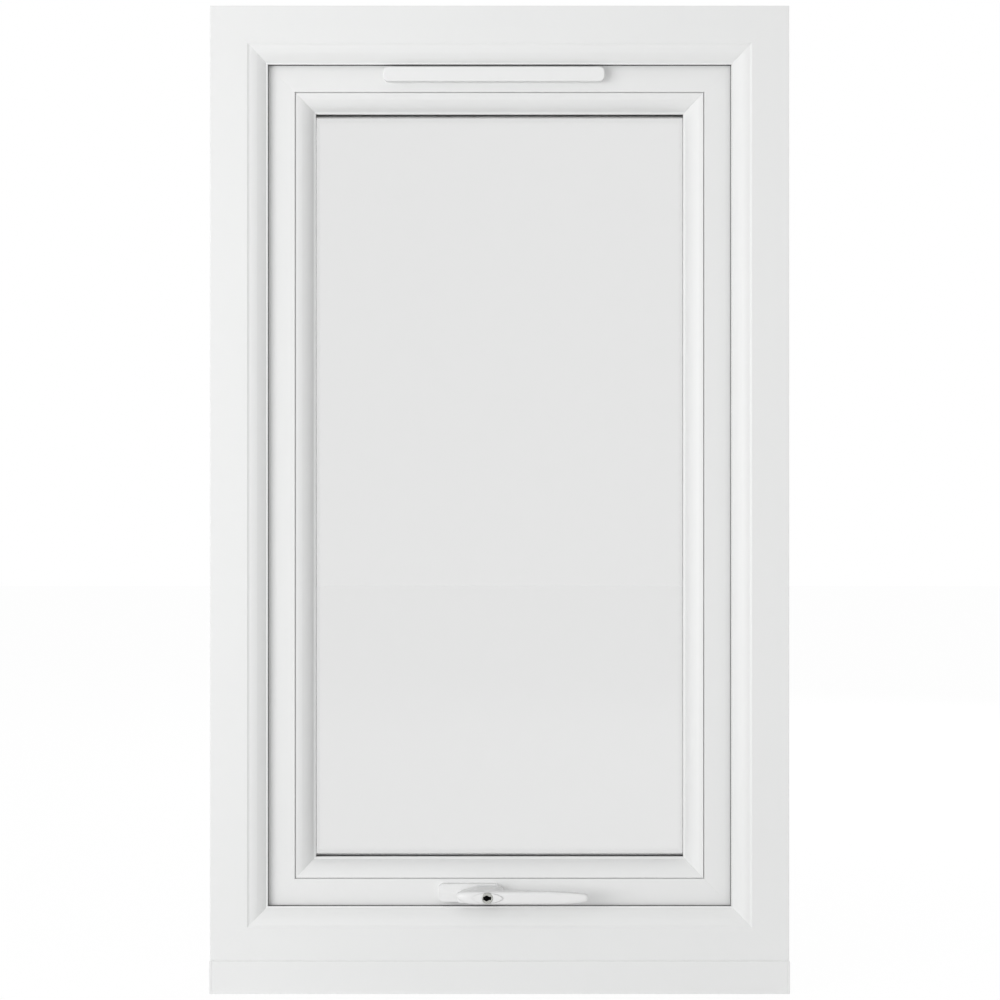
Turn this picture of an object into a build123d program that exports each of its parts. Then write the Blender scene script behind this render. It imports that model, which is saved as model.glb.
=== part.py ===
"""Top-hung white window with its outer frame and cill, in millimetres.

X runs to the right as seen from the room, Y to the outside and Z up.  The origin is on the
underside of the cill, at the middle of the frame's width and depth.
"""
import math
import os

from build123d import *

# Overall size
WIDTH = 610.0
HEIGHT = 1040.0
FRAME_DEPTH = 70.0

# Cill
CILL_HEIGHT = 30.0
CILL_NIB = 3.0
CILL_NIB_RISE = 4.5
CILL_PROJECTION = 77.0
CILL_NOSE_RADIUS = 7.0
CILL_FALL = 7.0
CILL_WALL = 2.4
CILL_UNDERCUT = 4.0
CILL_CAP = 2.5
CILL_CAP_PROUD = 0.5

# Outer frame section: n is the distance from its outer edge towards the glass
FRAME_FACE = 60.0
FRAME_FLAT = 39.2
REBATE = 41.0
LIP_THICK = 4.0
LIP_BACK = 14.0
STEP = 1.2
LAND = 1.7
FRAME_ROLL = 1.6
WALL = 2.5
INNER_WALL = 2.0

# Sash section, measured the same way from the edge of its outer flange
STACK_GAP = 13.0
SASH_SET_BACK = 18.0
SASH_BODY = 34.0
SASH_FLANGE = 19.5
SASH_FLANGE_THICK = 6.5
SASH_FLANGE_GAP = 4.5
BEAD_WIDTH = 21.0
BEAD_ROLL = 2.0
BEAD_NIB = 1.9
BEAD_NIB_HEIGHT = 2.4
UPSTAND = 20.0
UPSTAND_THICK = 10.0
HAIRLINE = 0.2

# Steel inside the frame and the sash
STEEL_WALL = 1.5
STEEL_FIT = 0.5

# Sealed unit
PANE = 4.0
SPACER = 20.0
GLASS_EDGE_GAP = 5.0
GASKET = 3.0
GASKET_WIDTH = 8.0
GASKET_SET_BACK = 0.8
SPACER_BAR = 8.0
PACKER_LENGTH = 60.0
PACKER_INSET = 70.0

# Weather seals
SEAL_REST_GAP = 0.35
SEAL_WIDTH = 6.0
SEAL_GROOVE = 1.6
SEAL_FOOT = 1.0

# Drain slots through the bottom rail
DRAIN_LENGTH = 25.0
DRAIN_HEIGHT = 5.0
DRAIN_OUTER_X = 150.0
DRAIN_INNER_X = 105.0

# Stay on each side: depths of its pivots and their drops below the top of the frame
LONG_PIVOT_Y = -6.0
LONG_PIVOT_DROP = 313.67
LONG_ARM = 168.65
SHORT_PIVOT_Y = 11.35
SHORT_PIVOT_DROP = 115.92
SHORT_ARM = 73.49
SHORT_ARM_LEAN = -0.173
STAY_PLATE = 2.4
STAY_PLATE_WIDTH = 17.0
STAY_END = 48.0
TRACK_Y = 9.0
SASH_PLATE_Y = 3.0
ARM_THICK = 2.8
ARM_WIDTH = 14.0
ARM_GAP = 0.5
PIN_RADIUS = 3.0
PIN_CLEARANCE = 0.05
OPEN_PIN_CLEARANCE = 1.4

# Handle, about its spindle
HANDLE_X = -32.3
BACKSET = 20.3
BASE_LENGTH = 65.9
BASE_WIDTH = 19.2
BASE_CORNER = 6.8
BASE_EDGE = 9.2
BASE_RIDGE = 10.5
BASE_ROUND = 2.4
COVER_WALL = 1.6
BASE_PLATE = 5.0
BASE_SCREW = 21.5
LEVER_ABOVE = 7.7
LEVER_BELOW = 6.6
LEVER_HEEL = 13.0
HEEL_RADIUS = 4.5
LEVER_TOE = 8.0
LEVER_REACH = 125.2
LEVER_TIP = 3.4
LEVER_TAPER_TOP = 36.0
LEVER_TAPER_LOW = 19.0
LEVER_THICK = 13.0
LEVER_TIP_THICK = 9.0
LEVER_STAND = 44.0
LEVER_ROUND = 2.4
NECK_LEFT = 11.5
NECK_RIGHT = 33.5
NECK_HEIGHT = 18.4
LEVER_GAP = 0.6
SPINDLE = 7.0
SPINDLE_FIT = 0.05
LENS_START = 2.6
LENS_LENGTH = 34.4
LENS_HALF = 5.4
LENS_DEPTH = 0.9
LOCK_OFFSET = 19.7
LOCK_RADIUS = 5.75
LOCK_DEPTH = 9.0
KEY_RADIUS = 2.9
KEY_SLOT = 8.5
KEY_SLOT_HEIGHT = 3.4
KEY_DEPTH = 3.5

# Espagnolette
MODULE = 1.5
PINION_TEETH = 17
PRESSURE_ANGLE = math.radians(20)
BACKLASH = 0.2
GEAR_WIDTH = 7.0
GEARBOX_LENGTH = 46.0
GEARBOX_WALL = 3.0
ESPAG_Y = 9.0
FACEPLATE_WIDTH = 16.0
FACEPLATE_THICK = 2.4
FACEPLATE_END = 38.0
FACEPLATE_SCREW = 10.0
RAIL_THICK = 2.6
RAIL_NARROW = 2.0
RAIL_END = 20.0
RUNNING_GAP = 0.3
CAM_RADIUS = 5.0
CAM_STEM = 3.0
CAM_DROP = 6.0
CAM_LIFT = 1.0
CAM_SOCKET = 2.0
CAM_INSET = 75.0
KEEP_PLATE = 2.4
KEEP_LENGTH = 50.0
KEEP_WIDTH = 22.0
KEEP_CORNER = 4.0
KEEP_WALL_LENGTH = 26.0
KEEP_SCREW = 19.0

# Trickle vent
VENT_X = -6.0
VENT_DROP = 71.1
VENT_LENGTH = 234.0
VENT_HEIGHT = 15.6
VENT_CORNER = 6.7
VENT_INSET = 0.75
VENT_BODY_THICK = 8.0
VENT_PROUD = 17.0
VENT_ROUND = 1.5
VENT_WALL = 1.6
VENT_SLOT_HEIGHT = 7.0
VENT_SLOT_END = 20.0
HINGE_RADIUS = 2.0
HINGE_RISE = 2.6
HINGE_PIN = 1.0
HINGE_PIN_LENGTH = 4.0
HINGE_END = 15.0
FLAP_RELIEF = 1.35
CANOPY_HEIGHT = 22.0
CANOPY_DEPTH = 12.0
CANOPY_SLOPE = 7.0
CANOPY_WALL = 2.0

# Fixing holes through the jambs
FIXING_LOW = 230.0
FIXING_DROP = 400.0
FIXING_RADIUS = 4.0
SCREW_RADIUS = 2.0
SCREW_HEAD = 3.8
SCREW_HEAD_THICK = 1.6
SCREW_LENGTH = 14.0
BASE_SCREW_LENGTH = 22.0

# Levels and lines that follow from the sizes above
ROOM = -FRAME_DEPTH / 2
OUTSIDE = FRAME_DEPTH / 2
HALF = WIDTH / 2
BOTTOM = CILL_HEIGHT
TOP = HEIGHT
LIP_REAR = ROOM + LIP_BACK
SASH_FACE = ROOM + SASH_SET_BACK
FLANGE_IN = OUTSIDE + SASH_FLANGE_GAP
SASH_OUT = FLANGE_IN + SASH_FLANGE_THICK
SASH_EDGE = REBATE + STACK_GAP
FLANGE_EDGE = SASH_EDGE - SASH_FLANGE
PLATFORM = SASH_FLANGE + SASH_BODY
BEAD_END = PLATFORM + HAIRLINE + BEAD_WIDTH
GLASS_OUT = SASH_OUT - UPSTAND_THICK - GASKET
GLASS_IN = GLASS_OUT - 2 * PANE - SPACER
BEAD_REAR = GLASS_IN - GASKET
SASH_UNDERSIDE = BOTTOM + SASH_EDGE
HANDLE_Z = SASH_UNDERSIDE + BACKSET
VENT_Z = TOP - VENT_DROP
PITCH_RADIUS = MODULE * PINION_TEETH / 2
TRAVEL = PITCH_RADIUS * math.pi / 2
FACEPLATE_HALF = HALF - SASH_EDGE - FACEPLATE_END
CAM_PLACES = (CAM_INSET - FACEPLATE_HALF, FACEPLATE_HALF - CAM_INSET)
RAIL_LOW = SASH_UNDERSIDE + FACEPLATE_THICK + RUNNING_GAP
RAIL_HIGH = RAIL_LOW + RAIL_THICK
RAIL_START = RAIL_END - FACEPLATE_HALF
RAIL_STOP = FACEPLATE_HALF - RAIL_END - TRAVEL
CASE_HIGH = BOTTOM + FLANGE_EDGE + PLATFORM - 1.0
SIDES = ("left", "right", "head", "sill")

FRAME_RING = (HALF, BOTTOM, TOP)
SASH_RING = (HALF - FLANGE_EDGE, BOTTOM + FLANGE_EDGE, TOP - FLANGE_EDGE)


def bulge(start, end, rise):
    """Middle point of an arc that swells by rise to the right of the way from start to end."""
    dx, dy = end[0] - start[0], end[1] - start[1]
    length = math.hypot(dx, dy)
    mid_x, mid_y = (start[0] + end[0]) / 2, (start[1] + end[1]) / 2
    return (mid_x + dy / length * rise, mid_y - dx / length * rise)


def outline(points, arcs=None):
    """Face inside a closed run of points; arcs maps a start index to a rise."""
    arcs = arcs or {}
    edges = []
    for i, start in enumerate(points):
        end = points[(i + 1) % len(points)]
        if i in arcs:
            edges.append(ThreePointArc(start, bulge(start, end, arcs[i]), end))
        else:
            edges.append(Line(start, end))
    return make_face(Curve() + edges)


def cell(n0, n1, y0, y1):
    """Rectangular face between two distances from the edge and two depths."""
    return Pos((n0 + n1) / 2, (y0 + y1) / 2) * Rectangle(n1 - n0, y1 - y0)


def block(x0, x1, y0, y1, z0, z1):
    """Box between two corners."""
    return Pos((x0 + x1) / 2, (y0 + y1) / 2, (z0 + z1) / 2) * Box(x1 - x0, y1 - y0, z1 - z0)


def group(pieces):
    return Compound(children=list(pieces))


def room_plane(x, z, y):
    """Plane facing the room at a depth, with x to the right and y up."""
    return Plane(origin=(x, y, z), x_dir=(1, 0, 0), z_dir=(0, -1, 0))


def run_plane(x):
    """Plane across the window at x, for faces drawn in depth and height."""
    return Plane(origin=(x, 0, 0), x_dir=(0, 1, 0), z_dir=(1, 0, 0))


def side_plane(side, ring):
    """Plane of a section: its x runs from the ring's edge inwards and its y runs outside."""
    half, low, high = ring
    middle = (low + high) / 2
    origin, inwards, along = {
        "left": ((-half, 0, middle), (1, 0, 0), (0, 0, 1)),
        "right": ((half, 0, middle), (-1, 0, 0), (0, 0, -1)),
        "head": ((0, 0, high), (0, 0, -1), (1, 0, 0)),
        "sill": ((0, 0, low), (0, 0, 1), (-1, 0, 0)),
    }[side]
    return Plane(origin=origin, x_dir=inwards, z_dir=along)


def mitred(section, side, ring, reach):
    """Length of a section along one side of a ring, cut at 45 degrees at both ends."""
    half, low, high = ring
    bar = extrude(side_plane(side, ring) * section, max(half, high - low), both=True)
    a, b = half - reach, reach
    corners = {
        "left": [(-half, low), (-half, high), (-a, high - b), (-a, low + b)],
        "right": [(half, low), (half, high), (a, high - b), (a, low + b)],
        "head": [(-half, high), (half, high), (a, high - b), (-a, high - b)],
        "sill": [(-half, low), (half, low), (a, low + b), (-a, low + b)],
    }[side]
    cutter = extrude(Plane.XZ * make_face(Polyline(*corners, close=True)), 2 * FRAME_DEPTH, both=True)
    return bar & cutter


def ring_solid(section, ring, reach):
    """One closed ring with the section on all four sides."""
    solid = None
    for side in SIDES:
        piece = mitred(section, side, ring, reach)
        solid = piece if solid is None else solid + piece
    return solid


def screw(x, y, z, direction, length):
    """Screw whose head's outer face is at the point and whose shank runs along direction."""
    place = Plane(origin=(x, y, z), z_dir=direction)
    head = extrude(place * Circle(SCREW_HEAD), SCREW_HEAD_THICK)
    return head + extrude(place * Circle(SCREW_RADIUS), length)


def frame_steel_cell():
    """Limits of the frame chamber that holds the steel."""
    return (2 * WALL + INNER_WALL, REBATE - WALL, LIP_REAR + INNER_WALL / 2, OUTSIDE - 5 * WALL)


def frame_seal_line():
    """Middle of the seal on the lip."""
    return FRAME_FACE - SEAL_WIDTH / 2 - SEAL_FOOT


def frame_section():
    """Outer frame: flat face, small step, roll moulding, lip, rebate and chambers."""
    lip_front = LIP_REAR - LIP_THICK
    points = [
        (0, ROOM), (FRAME_FLAT, ROOM), (REBATE, ROOM + STEP), (FRAME_FACE - LAND, lip_front),
        (FRAME_FACE, lip_front), (FRAME_FACE, LIP_REAR), (REBATE, LIP_REAR),
        (REBATE, OUTSIDE), (0, OUTSIDE),
    ]
    face = outline(points, {2: FRAME_ROLL})
    steel = frame_steel_cell()
    face -= cell(WALL, REBATE - WALL, ROOM + WALL + STEP, LIP_REAR - INNER_WALL / 2)
    face -= cell(*steel)
    face -= cell(WALL, REBATE - WALL, steel[3] + INNER_WALL, OUTSIDE - WALL)
    middle, foot = frame_seal_line(), SEAL_WIDTH / 4
    return face - cell(middle - foot, middle + foot, LIP_REAR - SEAL_GROOVE, LIP_REAR)


def frame_seal_section():
    """Bubble seal on the lip with its foot in the groove, just clear of the sash."""
    middle, half, foot = frame_seal_line(), SEAL_WIDTH / 2, SEAL_WIDTH / 4
    bottom, tip = LIP_REAR - SEAL_GROOVE, SASH_FACE - SEAL_REST_GAP
    points = [
        (middle - foot, bottom), (middle + foot, bottom), (middle + foot, LIP_REAR),
        (middle + half, LIP_REAR), (middle + foot, tip), (middle - foot, tip),
        (middle - half, LIP_REAR), (middle - foot, LIP_REAR),
    ]
    swell = SEAL_WIDTH / 12
    return outline(points, {3: swell, 5: swell})


def sash_steel_cell():
    """Limits of the sash chamber that holds the steel."""
    return (SASH_FLANGE + 5 * WALL, PLATFORM - WALL, OUTSIDE - 6 * WALL, SASH_OUT - 2 * WALL)


def sash_seal_line():
    """Middle of the seal on the sash's outer flange."""
    return (SASH_FLANGE - STACK_GAP) / 2 + SEAL_REST_GAP


def sash_section():
    """Sash: body, outer flange, glazing upstand and chambers."""
    face = cell(SASH_FLANGE, PLATFORM, SASH_FACE, SASH_OUT)
    face += cell(0, SASH_FLANGE, FLANGE_IN, SASH_OUT)
    face += cell(PLATFORM, PLATFORM + UPSTAND, SASH_OUT - UPSTAND_THICK, SASH_OUT)
    steel = sash_steel_cell()
    face -= cell(SASH_FLANGE + WALL, PLATFORM - WALL, SASH_FACE + WALL, steel[2] - INNER_WALL)
    face -= cell(*steel)
    middle = sash_seal_line()
    return face - cell(middle - SEAL_FOOT, middle + SEAL_FOOT, FLANGE_IN, FLANGE_IN + SEAL_GROOVE)


def sash_seal_section():
    """Seal on the outer flange, just clear of the frame's outer face."""
    middle, tip, top = sash_seal_line(), OUTSIDE + SEAL_REST_GAP, FLANGE_IN + SEAL_GROOVE
    wide, narrow = SEAL_WIDTH / 2 - SEAL_REST_GAP, SEAL_WIDTH / 5
    points = [
        (middle - SEAL_FOOT, top), (middle - SEAL_FOOT, FLANGE_IN), (middle - wide, FLANGE_IN),
        (middle - narrow, tip), (middle + narrow, tip), (middle + wide, FLANGE_IN),
        (middle + SEAL_FOOT, FLANGE_IN), (middle + SEAL_FOOT, top),
    ]
    return outline(points)


def bead_section():
    """Glazing bead: roll moulding, nib at the glass and a hollow foot."""
    start, edge = PLATFORM + HAIRLINE, 0.6
    points = [
        (start, SASH_FACE + edge), (start + edge, SASH_FACE),
        (BEAD_END - BEAD_NIB, BEAD_REAR - BEAD_NIB_HEIGHT - 0.8), (BEAD_END, BEAD_REAR - BEAD_NIB_HEIGHT),
        (BEAD_END, BEAD_REAR), (start, BEAD_REAR),
    ]
    face = outline(points, {1: BEAD_ROLL})
    return face - cell(start + WALL, start + 2.6 * WALL, BEAD_REAR - 4.8 * WALL, BEAD_REAR - 1.4 * WALL)


def cill_outline():
    """Outside of the cill: nib to the room, falling top, round nose and drip."""
    front, inner = OUTSIDE + CILL_PROJECTION, ROOM - CILL_NIB
    nib_top = CILL_HEIGHT + CILL_NIB_RISE - CILL_NIB / 2
    shoulder = CILL_HEIGHT - CILL_FALL
    drip, heel = front - 3 * CILL_WALL, OUTSIDE + CILL_PROJECTION / 3
    points = [
        (inner, 0), (heel, 0), (heel, CILL_UNDERCUT), (drip, CILL_UNDERCUT), (drip, 0), (front, 0),
        (front, shoulder - CILL_NOSE_RADIUS), (front - CILL_NOSE_RADIUS, shoulder),
        (OUTSIDE + 1, CILL_HEIGHT), (ROOM, CILL_HEIGHT), (ROOM, nib_top), (inner, nib_top),
    ]
    turn = CILL_NOSE_RADIUS * (1 - math.cos(math.pi / 4))
    return outline(points, {6: turn, 10: CILL_NIB / 2})


def make_cill():
    """Hollow cill and the moulded caps on its two ends."""
    face = cill_outline()
    top, middle, web = CILL_HEIGHT - CILL_WALL, (ROOM + OUTSIDE) / 2, CILL_WALL / 2
    for y0, y1 in ((ROOM, middle - web), (middle + web, OUTSIDE - web)):
        face -= cell(y0, y1, CILL_WALL, top)
    drip, floor = OUTSIDE + CILL_PROJECTION - 3 * CILL_WALL, CILL_UNDERCUT + CILL_WALL
    face -= outline([
        (OUTSIDE + web, floor), (drip, floor), (drip, top - CILL_FALL), (OUTSIDE + web, top - web),
    ])
    half = HALF + CILL_CAP_PROUD - CILL_CAP
    caps = {
        "left": extrude(run_plane(-half - CILL_CAP) * cill_outline(), CILL_CAP),
        "right": extrude(run_plane(half) * cill_outline(), CILL_CAP),
    }
    return extrude(run_plane(-half) * face, 2 * half), caps


def steel_bars(chamber, ring, cuts):
    """Square tubes in the chambers, which stop short of the welded corners."""
    n0, n1, y0, y1 = chamber
    fit, inner = STEEL_FIT, STEEL_FIT + STEEL_WALL
    tube = cell(n0 + fit, n1 - fit, y0 + fit, y1 - fit)
    tube -= cell(n0 + inner, n1 - inner, y0 + inner, y1 - inner)
    half, low, high = ring
    bars = []
    for side in SIDES:
        span = (high - low) / 2 if side in ("left", "right") else half
        bars.append(extrude(side_plane(side, ring) * tube, span - n1 - 2 * WALL, both=True) - cuts)
    return group(bars)


def drain_slots():
    """Slots that let water out of the rebate through the outer chamber."""
    slots = []
    outer_low, inner_start = BOTTOM + 2 * WALL, frame_steel_cell()[3] + INNER_WALL + 1
    floor = BOTTOM + REBATE
    for sign in (-1, 1):
        for x, y0, y1, z0, z1 in (
            (DRAIN_OUTER_X, OUTSIDE - WALL - 1, OUTSIDE + 1, outer_low, outer_low + DRAIN_HEIGHT),
            (DRAIN_INNER_X, inner_start, inner_start + DRAIN_HEIGHT, floor - WALL - 1, floor + 1),
        ):
            slots.append(block(sign * x - DRAIN_LENGTH / 2, sign * x + DRAIN_LENGTH / 2, y0, y1, z0, z1))
    return slots


def fixing_holes():
    """Holes through the jambs for the screws into the wall."""
    holes = []
    for sign in (-1, 1):
        for z in (FIXING_LOW, TOP - FIXING_DROP):
            plane = Plane(origin=(sign * (HALF + 1), 0, z), z_dir=(-sign, 0, 0))
            holes.append(extrude(plane * Circle(FIXING_RADIUS), REBATE + 2))
    return holes


def make_glazing():
    """Panes, spacer, edge sealant, gaskets and packers."""
    half, low, high = SASH_RING
    edge = PLATFORM + GLASS_EDGE_GAP
    right = half - edge
    parts = {}
    for name, y in (("glass_inner", GLASS_IN), ("glass_outer", GLASS_OUT - PANE)):
        parts[name] = block(-right, right, y, y + PANE, low + edge, high - edge)
    cavity = (GLASS_IN + PANE, GLASS_OUT - PANE)
    lip = BEAD_END - GASKET_SET_BACK
    rear_lip = PLATFORM + UPSTAND
    sections = {
        "spacer_bar": cell(BEAD_END - SPACER_BAR, BEAD_END, *cavity),
        "edge_sealant": cell(edge, BEAD_END - SPACER_BAR, *cavity),
        "glazing_gasket_inner": cell(lip - GASKET_WIDTH, lip, BEAD_REAR, GLASS_IN),
        "glazing_gasket_outer": cell(rear_lip - GASKET_WIDTH, rear_lip, GLASS_OUT, GLASS_OUT + GASKET),
    }
    for name, section in sections.items():
        parts[name] = ring_solid(section, SASH_RING, BEAD_END + 1)
    packers = []
    for x in (PACKER_INSET - right, right - PACKER_INSET):
        for z in (low + PLATFORM, high - edge):
            packers.append(block(
                x - PACKER_LENGTH / 2, x + PACKER_LENGTH / 2, GLASS_IN, GLASS_OUT, z, z + GLASS_EDGE_GAP))
    parts["glazing_packers"] = group(packers)
    return parts


def stay_layers():
    """Distances of the stay's plates and arms from the window's middle."""
    sash_side, jamb_side = HALF - SASH_EDGE, HALF - REBATE
    long_in = sash_side + STAY_PLATE + ARM_GAP
    short_in = long_in + ARM_THICK + ARM_GAP
    return {
        "sash_plate": (sash_side, sash_side + STAY_PLATE),
        "long": (long_in, long_in + ARM_THICK),
        "short": (short_in, short_in + ARM_THICK),
        "track": (jamb_side - STAY_PLATE, jamb_side),
    }


def across(sign, near, far, face):
    """Face drawn in depth and height, made solid between two distances on one side."""
    a, b = sorted((sign * near, sign * far))
    return extrude(run_plane(a) * face, b - a)


def bar_face(a, b, width):
    """Flat bar with round ends about two points."""
    dy, dz = b[0] - a[0], b[1] - a[1]
    turn = math.degrees(math.atan2(dz, dy))
    place = Pos((a[0] + b[0]) / 2, (a[1] + b[1]) / 2) * Rot(0, 0, turn)
    return place * SlotCenterToCenter(math.hypot(dy, dz), width)


def stay_points():
    """Pivots with the sash closed, as depth and height: long arm's two, then short arm's two."""
    long_frame = (LONG_PIVOT_Y, TOP - LONG_PIVOT_DROP)
    long_sash = (LONG_PIVOT_Y, long_frame[1] + LONG_ARM)
    short_sash = (SHORT_PIVOT_Y, TOP - SHORT_PIVOT_DROP)
    short_frame = (
        short_sash[0] - SHORT_ARM * math.sin(SHORT_ARM_LEAN),
        short_sash[1] - SHORT_ARM * math.cos(SHORT_ARM_LEAN),
    )
    return long_frame, long_sash, short_frame, short_sash


def stay_plate(spine, pivots):
    """Pressed plate: a straight spine with a rounded ear out to each pivot."""
    heights = [p[1] for p in pivots]
    face = bar_face((spine, min(heights) - STAY_END), (spine, max(heights) + STAY_END), STAY_PLATE_WIDTH)
    for pivot in pivots:
        face += bar_face((spine, pivot[1]), pivot, ARM_WIDTH + 2)
    return face


def make_stay(sign):
    """Track, sash plate, two arms and their screws on one side."""
    long_frame, long_sash, short_frame, short_sash = stay_points()
    level = stay_layers()
    fit = PIN_RADIUS + PIN_CLEARANCE
    pin = Circle(PIN_RADIUS)
    track_in, track_out = level["track"]
    plate_in, plate_out = level["sash_plate"]
    track = across(sign, track_in, track_out, stay_plate(TRACK_Y, (long_frame, short_frame)))
    track += across(sign, level["long"][0], track_in, Pos(*long_frame) * pin)
    track += across(sign, level["short"][0], track_in, Pos(*short_frame) * pin)
    plate = across(sign, plate_in, plate_out, stay_plate(SASH_PLATE_Y, (long_sash, short_sash)))
    plate += across(sign, plate_out, level["long"][1], Pos(*long_sash) * pin)
    plate += across(sign, plate_out, level["short"][1], Pos(*short_sash) * pin)
    long_face = bar_face(long_frame, long_sash, ARM_WIDTH)
    long_face -= Pos(*long_frame) * Circle(fit) + Pos(*long_sash) * Circle(fit)
    short_face = bar_face(short_frame, short_sash, ARM_WIDTH) - Pos(*short_frame) * Circle(fit)
    short_face -= Pos(*short_sash) * Circle(PIN_RADIUS + OPEN_PIN_CLEARANCE)
    long_arm = across(sign, *level["long"], long_face)
    short_arm = across(sign, *level["short"], short_face)
    inset = STAY_END - STAY_PLATE_WIDTH / 2
    frame_screws = [
        screw(sign * track_in, TRACK_Y, z, (sign, 0, 0), SCREW_LENGTH)
        for z in (long_frame[1] - inset, (long_frame[1] + short_frame[1]) / 2, short_frame[1] + inset)
    ]
    sash_screws = [
        screw(sign * plate_out, SASH_PLATE_Y, z, (-sign, 0, 0), SCREW_LENGTH)
        for z in (long_sash[1] - inset, short_sash[1] + inset)
    ]
    for item in frame_screws:
        track -= item
    for item in sash_screws:
        plate -= item
    return track, plate, long_arm, short_arm, frame_screws, sash_screws


def pinion_profile():
    """Round hub with involute teeth only on the sector that meets the rack."""
    base = PITCH_RADIUS * math.cos(PRESSURE_ANGLE)
    tip, root = PITCH_RADIUS + MODULE, PITCH_RADIUS - 1.25 * MODULE
    half_pitch = math.pi / (2 * PINION_TEETH) - BACKLASH / 2 / PITCH_RADIUS
    involute_pitch = math.tan(PRESSURE_ANGLE) - PRESSURE_ANGLE
    flank = [(root - MODULE / 2, half_pitch + involute_pitch)]
    steps = 4
    for i in range(steps + 1):
        radius = base + (tip - base) * i / steps
        turn = math.acos(base / radius)
        flank.append((radius, half_pitch + involute_pitch - (math.tan(turn) - turn)))
    tooth = [(r, -a) for r, a in flank] + [(r, a) for r, a in reversed(flank)]
    profile = Circle(root)
    for place in range(-5, 2):
        centre = 2 * math.pi * place / PINION_TEETH - math.pi / 2
        points = [(r * math.cos(centre + a), r * math.sin(centre + a)) for r, a in tooth]
        profile += make_face(Polyline(*points, close=True))
    return profile - Rectangle(SPINDLE + 2 * SPINDLE_FIT, SPINDLE + 2 * SPINDLE_FIT)


def rack_teeth():
    """Teeth on top of the sliding rail, under the pinion."""
    step, thick = math.pi * MODULE, math.pi * MODULE / 2 - BACKLASH
    slope = math.tan(PRESSURE_ANGLE)
    pitch_line = HANDLE_Z - PITCH_RADIUS
    wide, narrow = thick / 2 + (pitch_line - RAIL_HIGH) * slope, thick / 2 - MODULE * slope
    tip = pitch_line + MODULE
    plane = room_plane(0, 0, ESPAG_Y + GEAR_WIDTH / 2)
    teeth = []
    for place in range(-6, 3):
        middle = HANDLE_X + (place + 0.5) * step
        face = outline([
            (middle - wide, RAIL_HIGH), (middle + wide, RAIL_HIGH),
            (middle + narrow, tip), (middle - narrow, tip),
        ])
        teeth.append(extrude(plane * face, GEAR_WIDTH))
    return teeth


def make_gearbox():
    """Case of the pinion, open below for the rack and bored for the spindle's bearings."""
    gap, half = GEAR_WIDTH / 2 + RUNNING_GAP, GEAR_WIDTH / 2 + GEARBOX_WALL
    low, long_half = RAIL_HIGH + RUNNING_GAP, GEARBOX_LENGTH / 2
    left, right = HANDLE_X - long_half, HANDLE_X + long_half
    case = block(left, right, ESPAG_Y - half, ESPAG_Y + half, low, CASE_HIGH)
    rack_top = HANDLE_Z - PITCH_RADIUS + MODULE + RUNNING_GAP
    wall = 2.0
    case -= block(left + wall, right - wall, ESPAG_Y - gap, ESPAG_Y + gap, low - 1, CASE_HIGH - wall / 2)
    case -= block(left - 1, right + 1, ESPAG_Y - gap, ESPAG_Y + gap, low - 1, rack_top)
    bearing = extrude(room_plane(HANDLE_X, HANDLE_Z, ESPAG_Y + half) * Circle(SPINDLE * 0.8), 2 * half)
    return case - bearing


def make_cam(x):
    """Roller cam: stem through the faceplate's slot, round head with a key socket below."""
    foot = SASH_UNDERSIDE - CAM_DROP
    head_top = SASH_UNDERSIDE - CAM_LIFT
    stem = extrude(Plane(origin=(x, ESPAG_Y, head_top)) * Circle(CAM_STEM), RAIL_LOW - head_top)
    head = extrude(Plane(origin=(x, ESPAG_Y, foot)) * Circle(CAM_RADIUS), head_top - foot)
    head = chamfer(head.edges().group_by(Axis.Z)[0], CAM_LIFT / 2)
    socket = extrude(Plane(origin=(x, ESPAG_Y, foot)) * RegularPolygon(CAM_SOCKET, 6), CAM_SOCKET)
    return stem + head - socket


def make_espag():
    """Faceplate, gearbox, pinion, sliding rail with its rack, roller cams and screws."""
    plate_plane = Plane(origin=(0, ESPAG_Y, SASH_UNDERSIDE))
    plate = extrude(plate_plane * SlotOverall(2 * FACEPLATE_HALF, FACEPLATE_WIDTH), FACEPLATE_THICK)
    slot_width = 2 * (CAM_STEM + RUNNING_GAP)
    for x in CAM_PLACES:
        slot = Pos(x + TRAVEL / 2, 0) * SlotCenterToCenter(TRAVEL + 2 * RUNNING_GAP, slot_width)
        plate -= extrude(plate_plane * slot, FACEPLATE_THICK)
    half = FACEPLATE_WIDTH / 2 - RAIL_NARROW
    rail = block(RAIL_START, RAIL_STOP, ESPAG_Y - half, ESPAG_Y + half, RAIL_LOW, RAIL_HIGH)
    for tooth in rack_teeth():
        rail += tooth
    gear_plane = room_plane(HANDLE_X, HANDLE_Z, ESPAG_Y + GEAR_WIDTH / 2)
    screws = []
    for x in (FACEPLATE_SCREW - FACEPLATE_HALF, FACEPLATE_HALF - FACEPLATE_SCREW):
        screws.append(screw(x, ESPAG_Y, SASH_UNDERSIDE, (0, 0, 1), SCREW_LENGTH))
        plate -= screws[-1]
    parts = {
        "espag_faceplate": plate,
        "espag_gearbox": make_gearbox(),
        "drive_rail": rail,
        "drive_pinion": extrude(gear_plane * pinion_profile(), GEAR_WIDTH),
        "roller_cams": group([make_cam(x) for x in CAM_PLACES]),
    }
    return parts, screws


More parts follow.
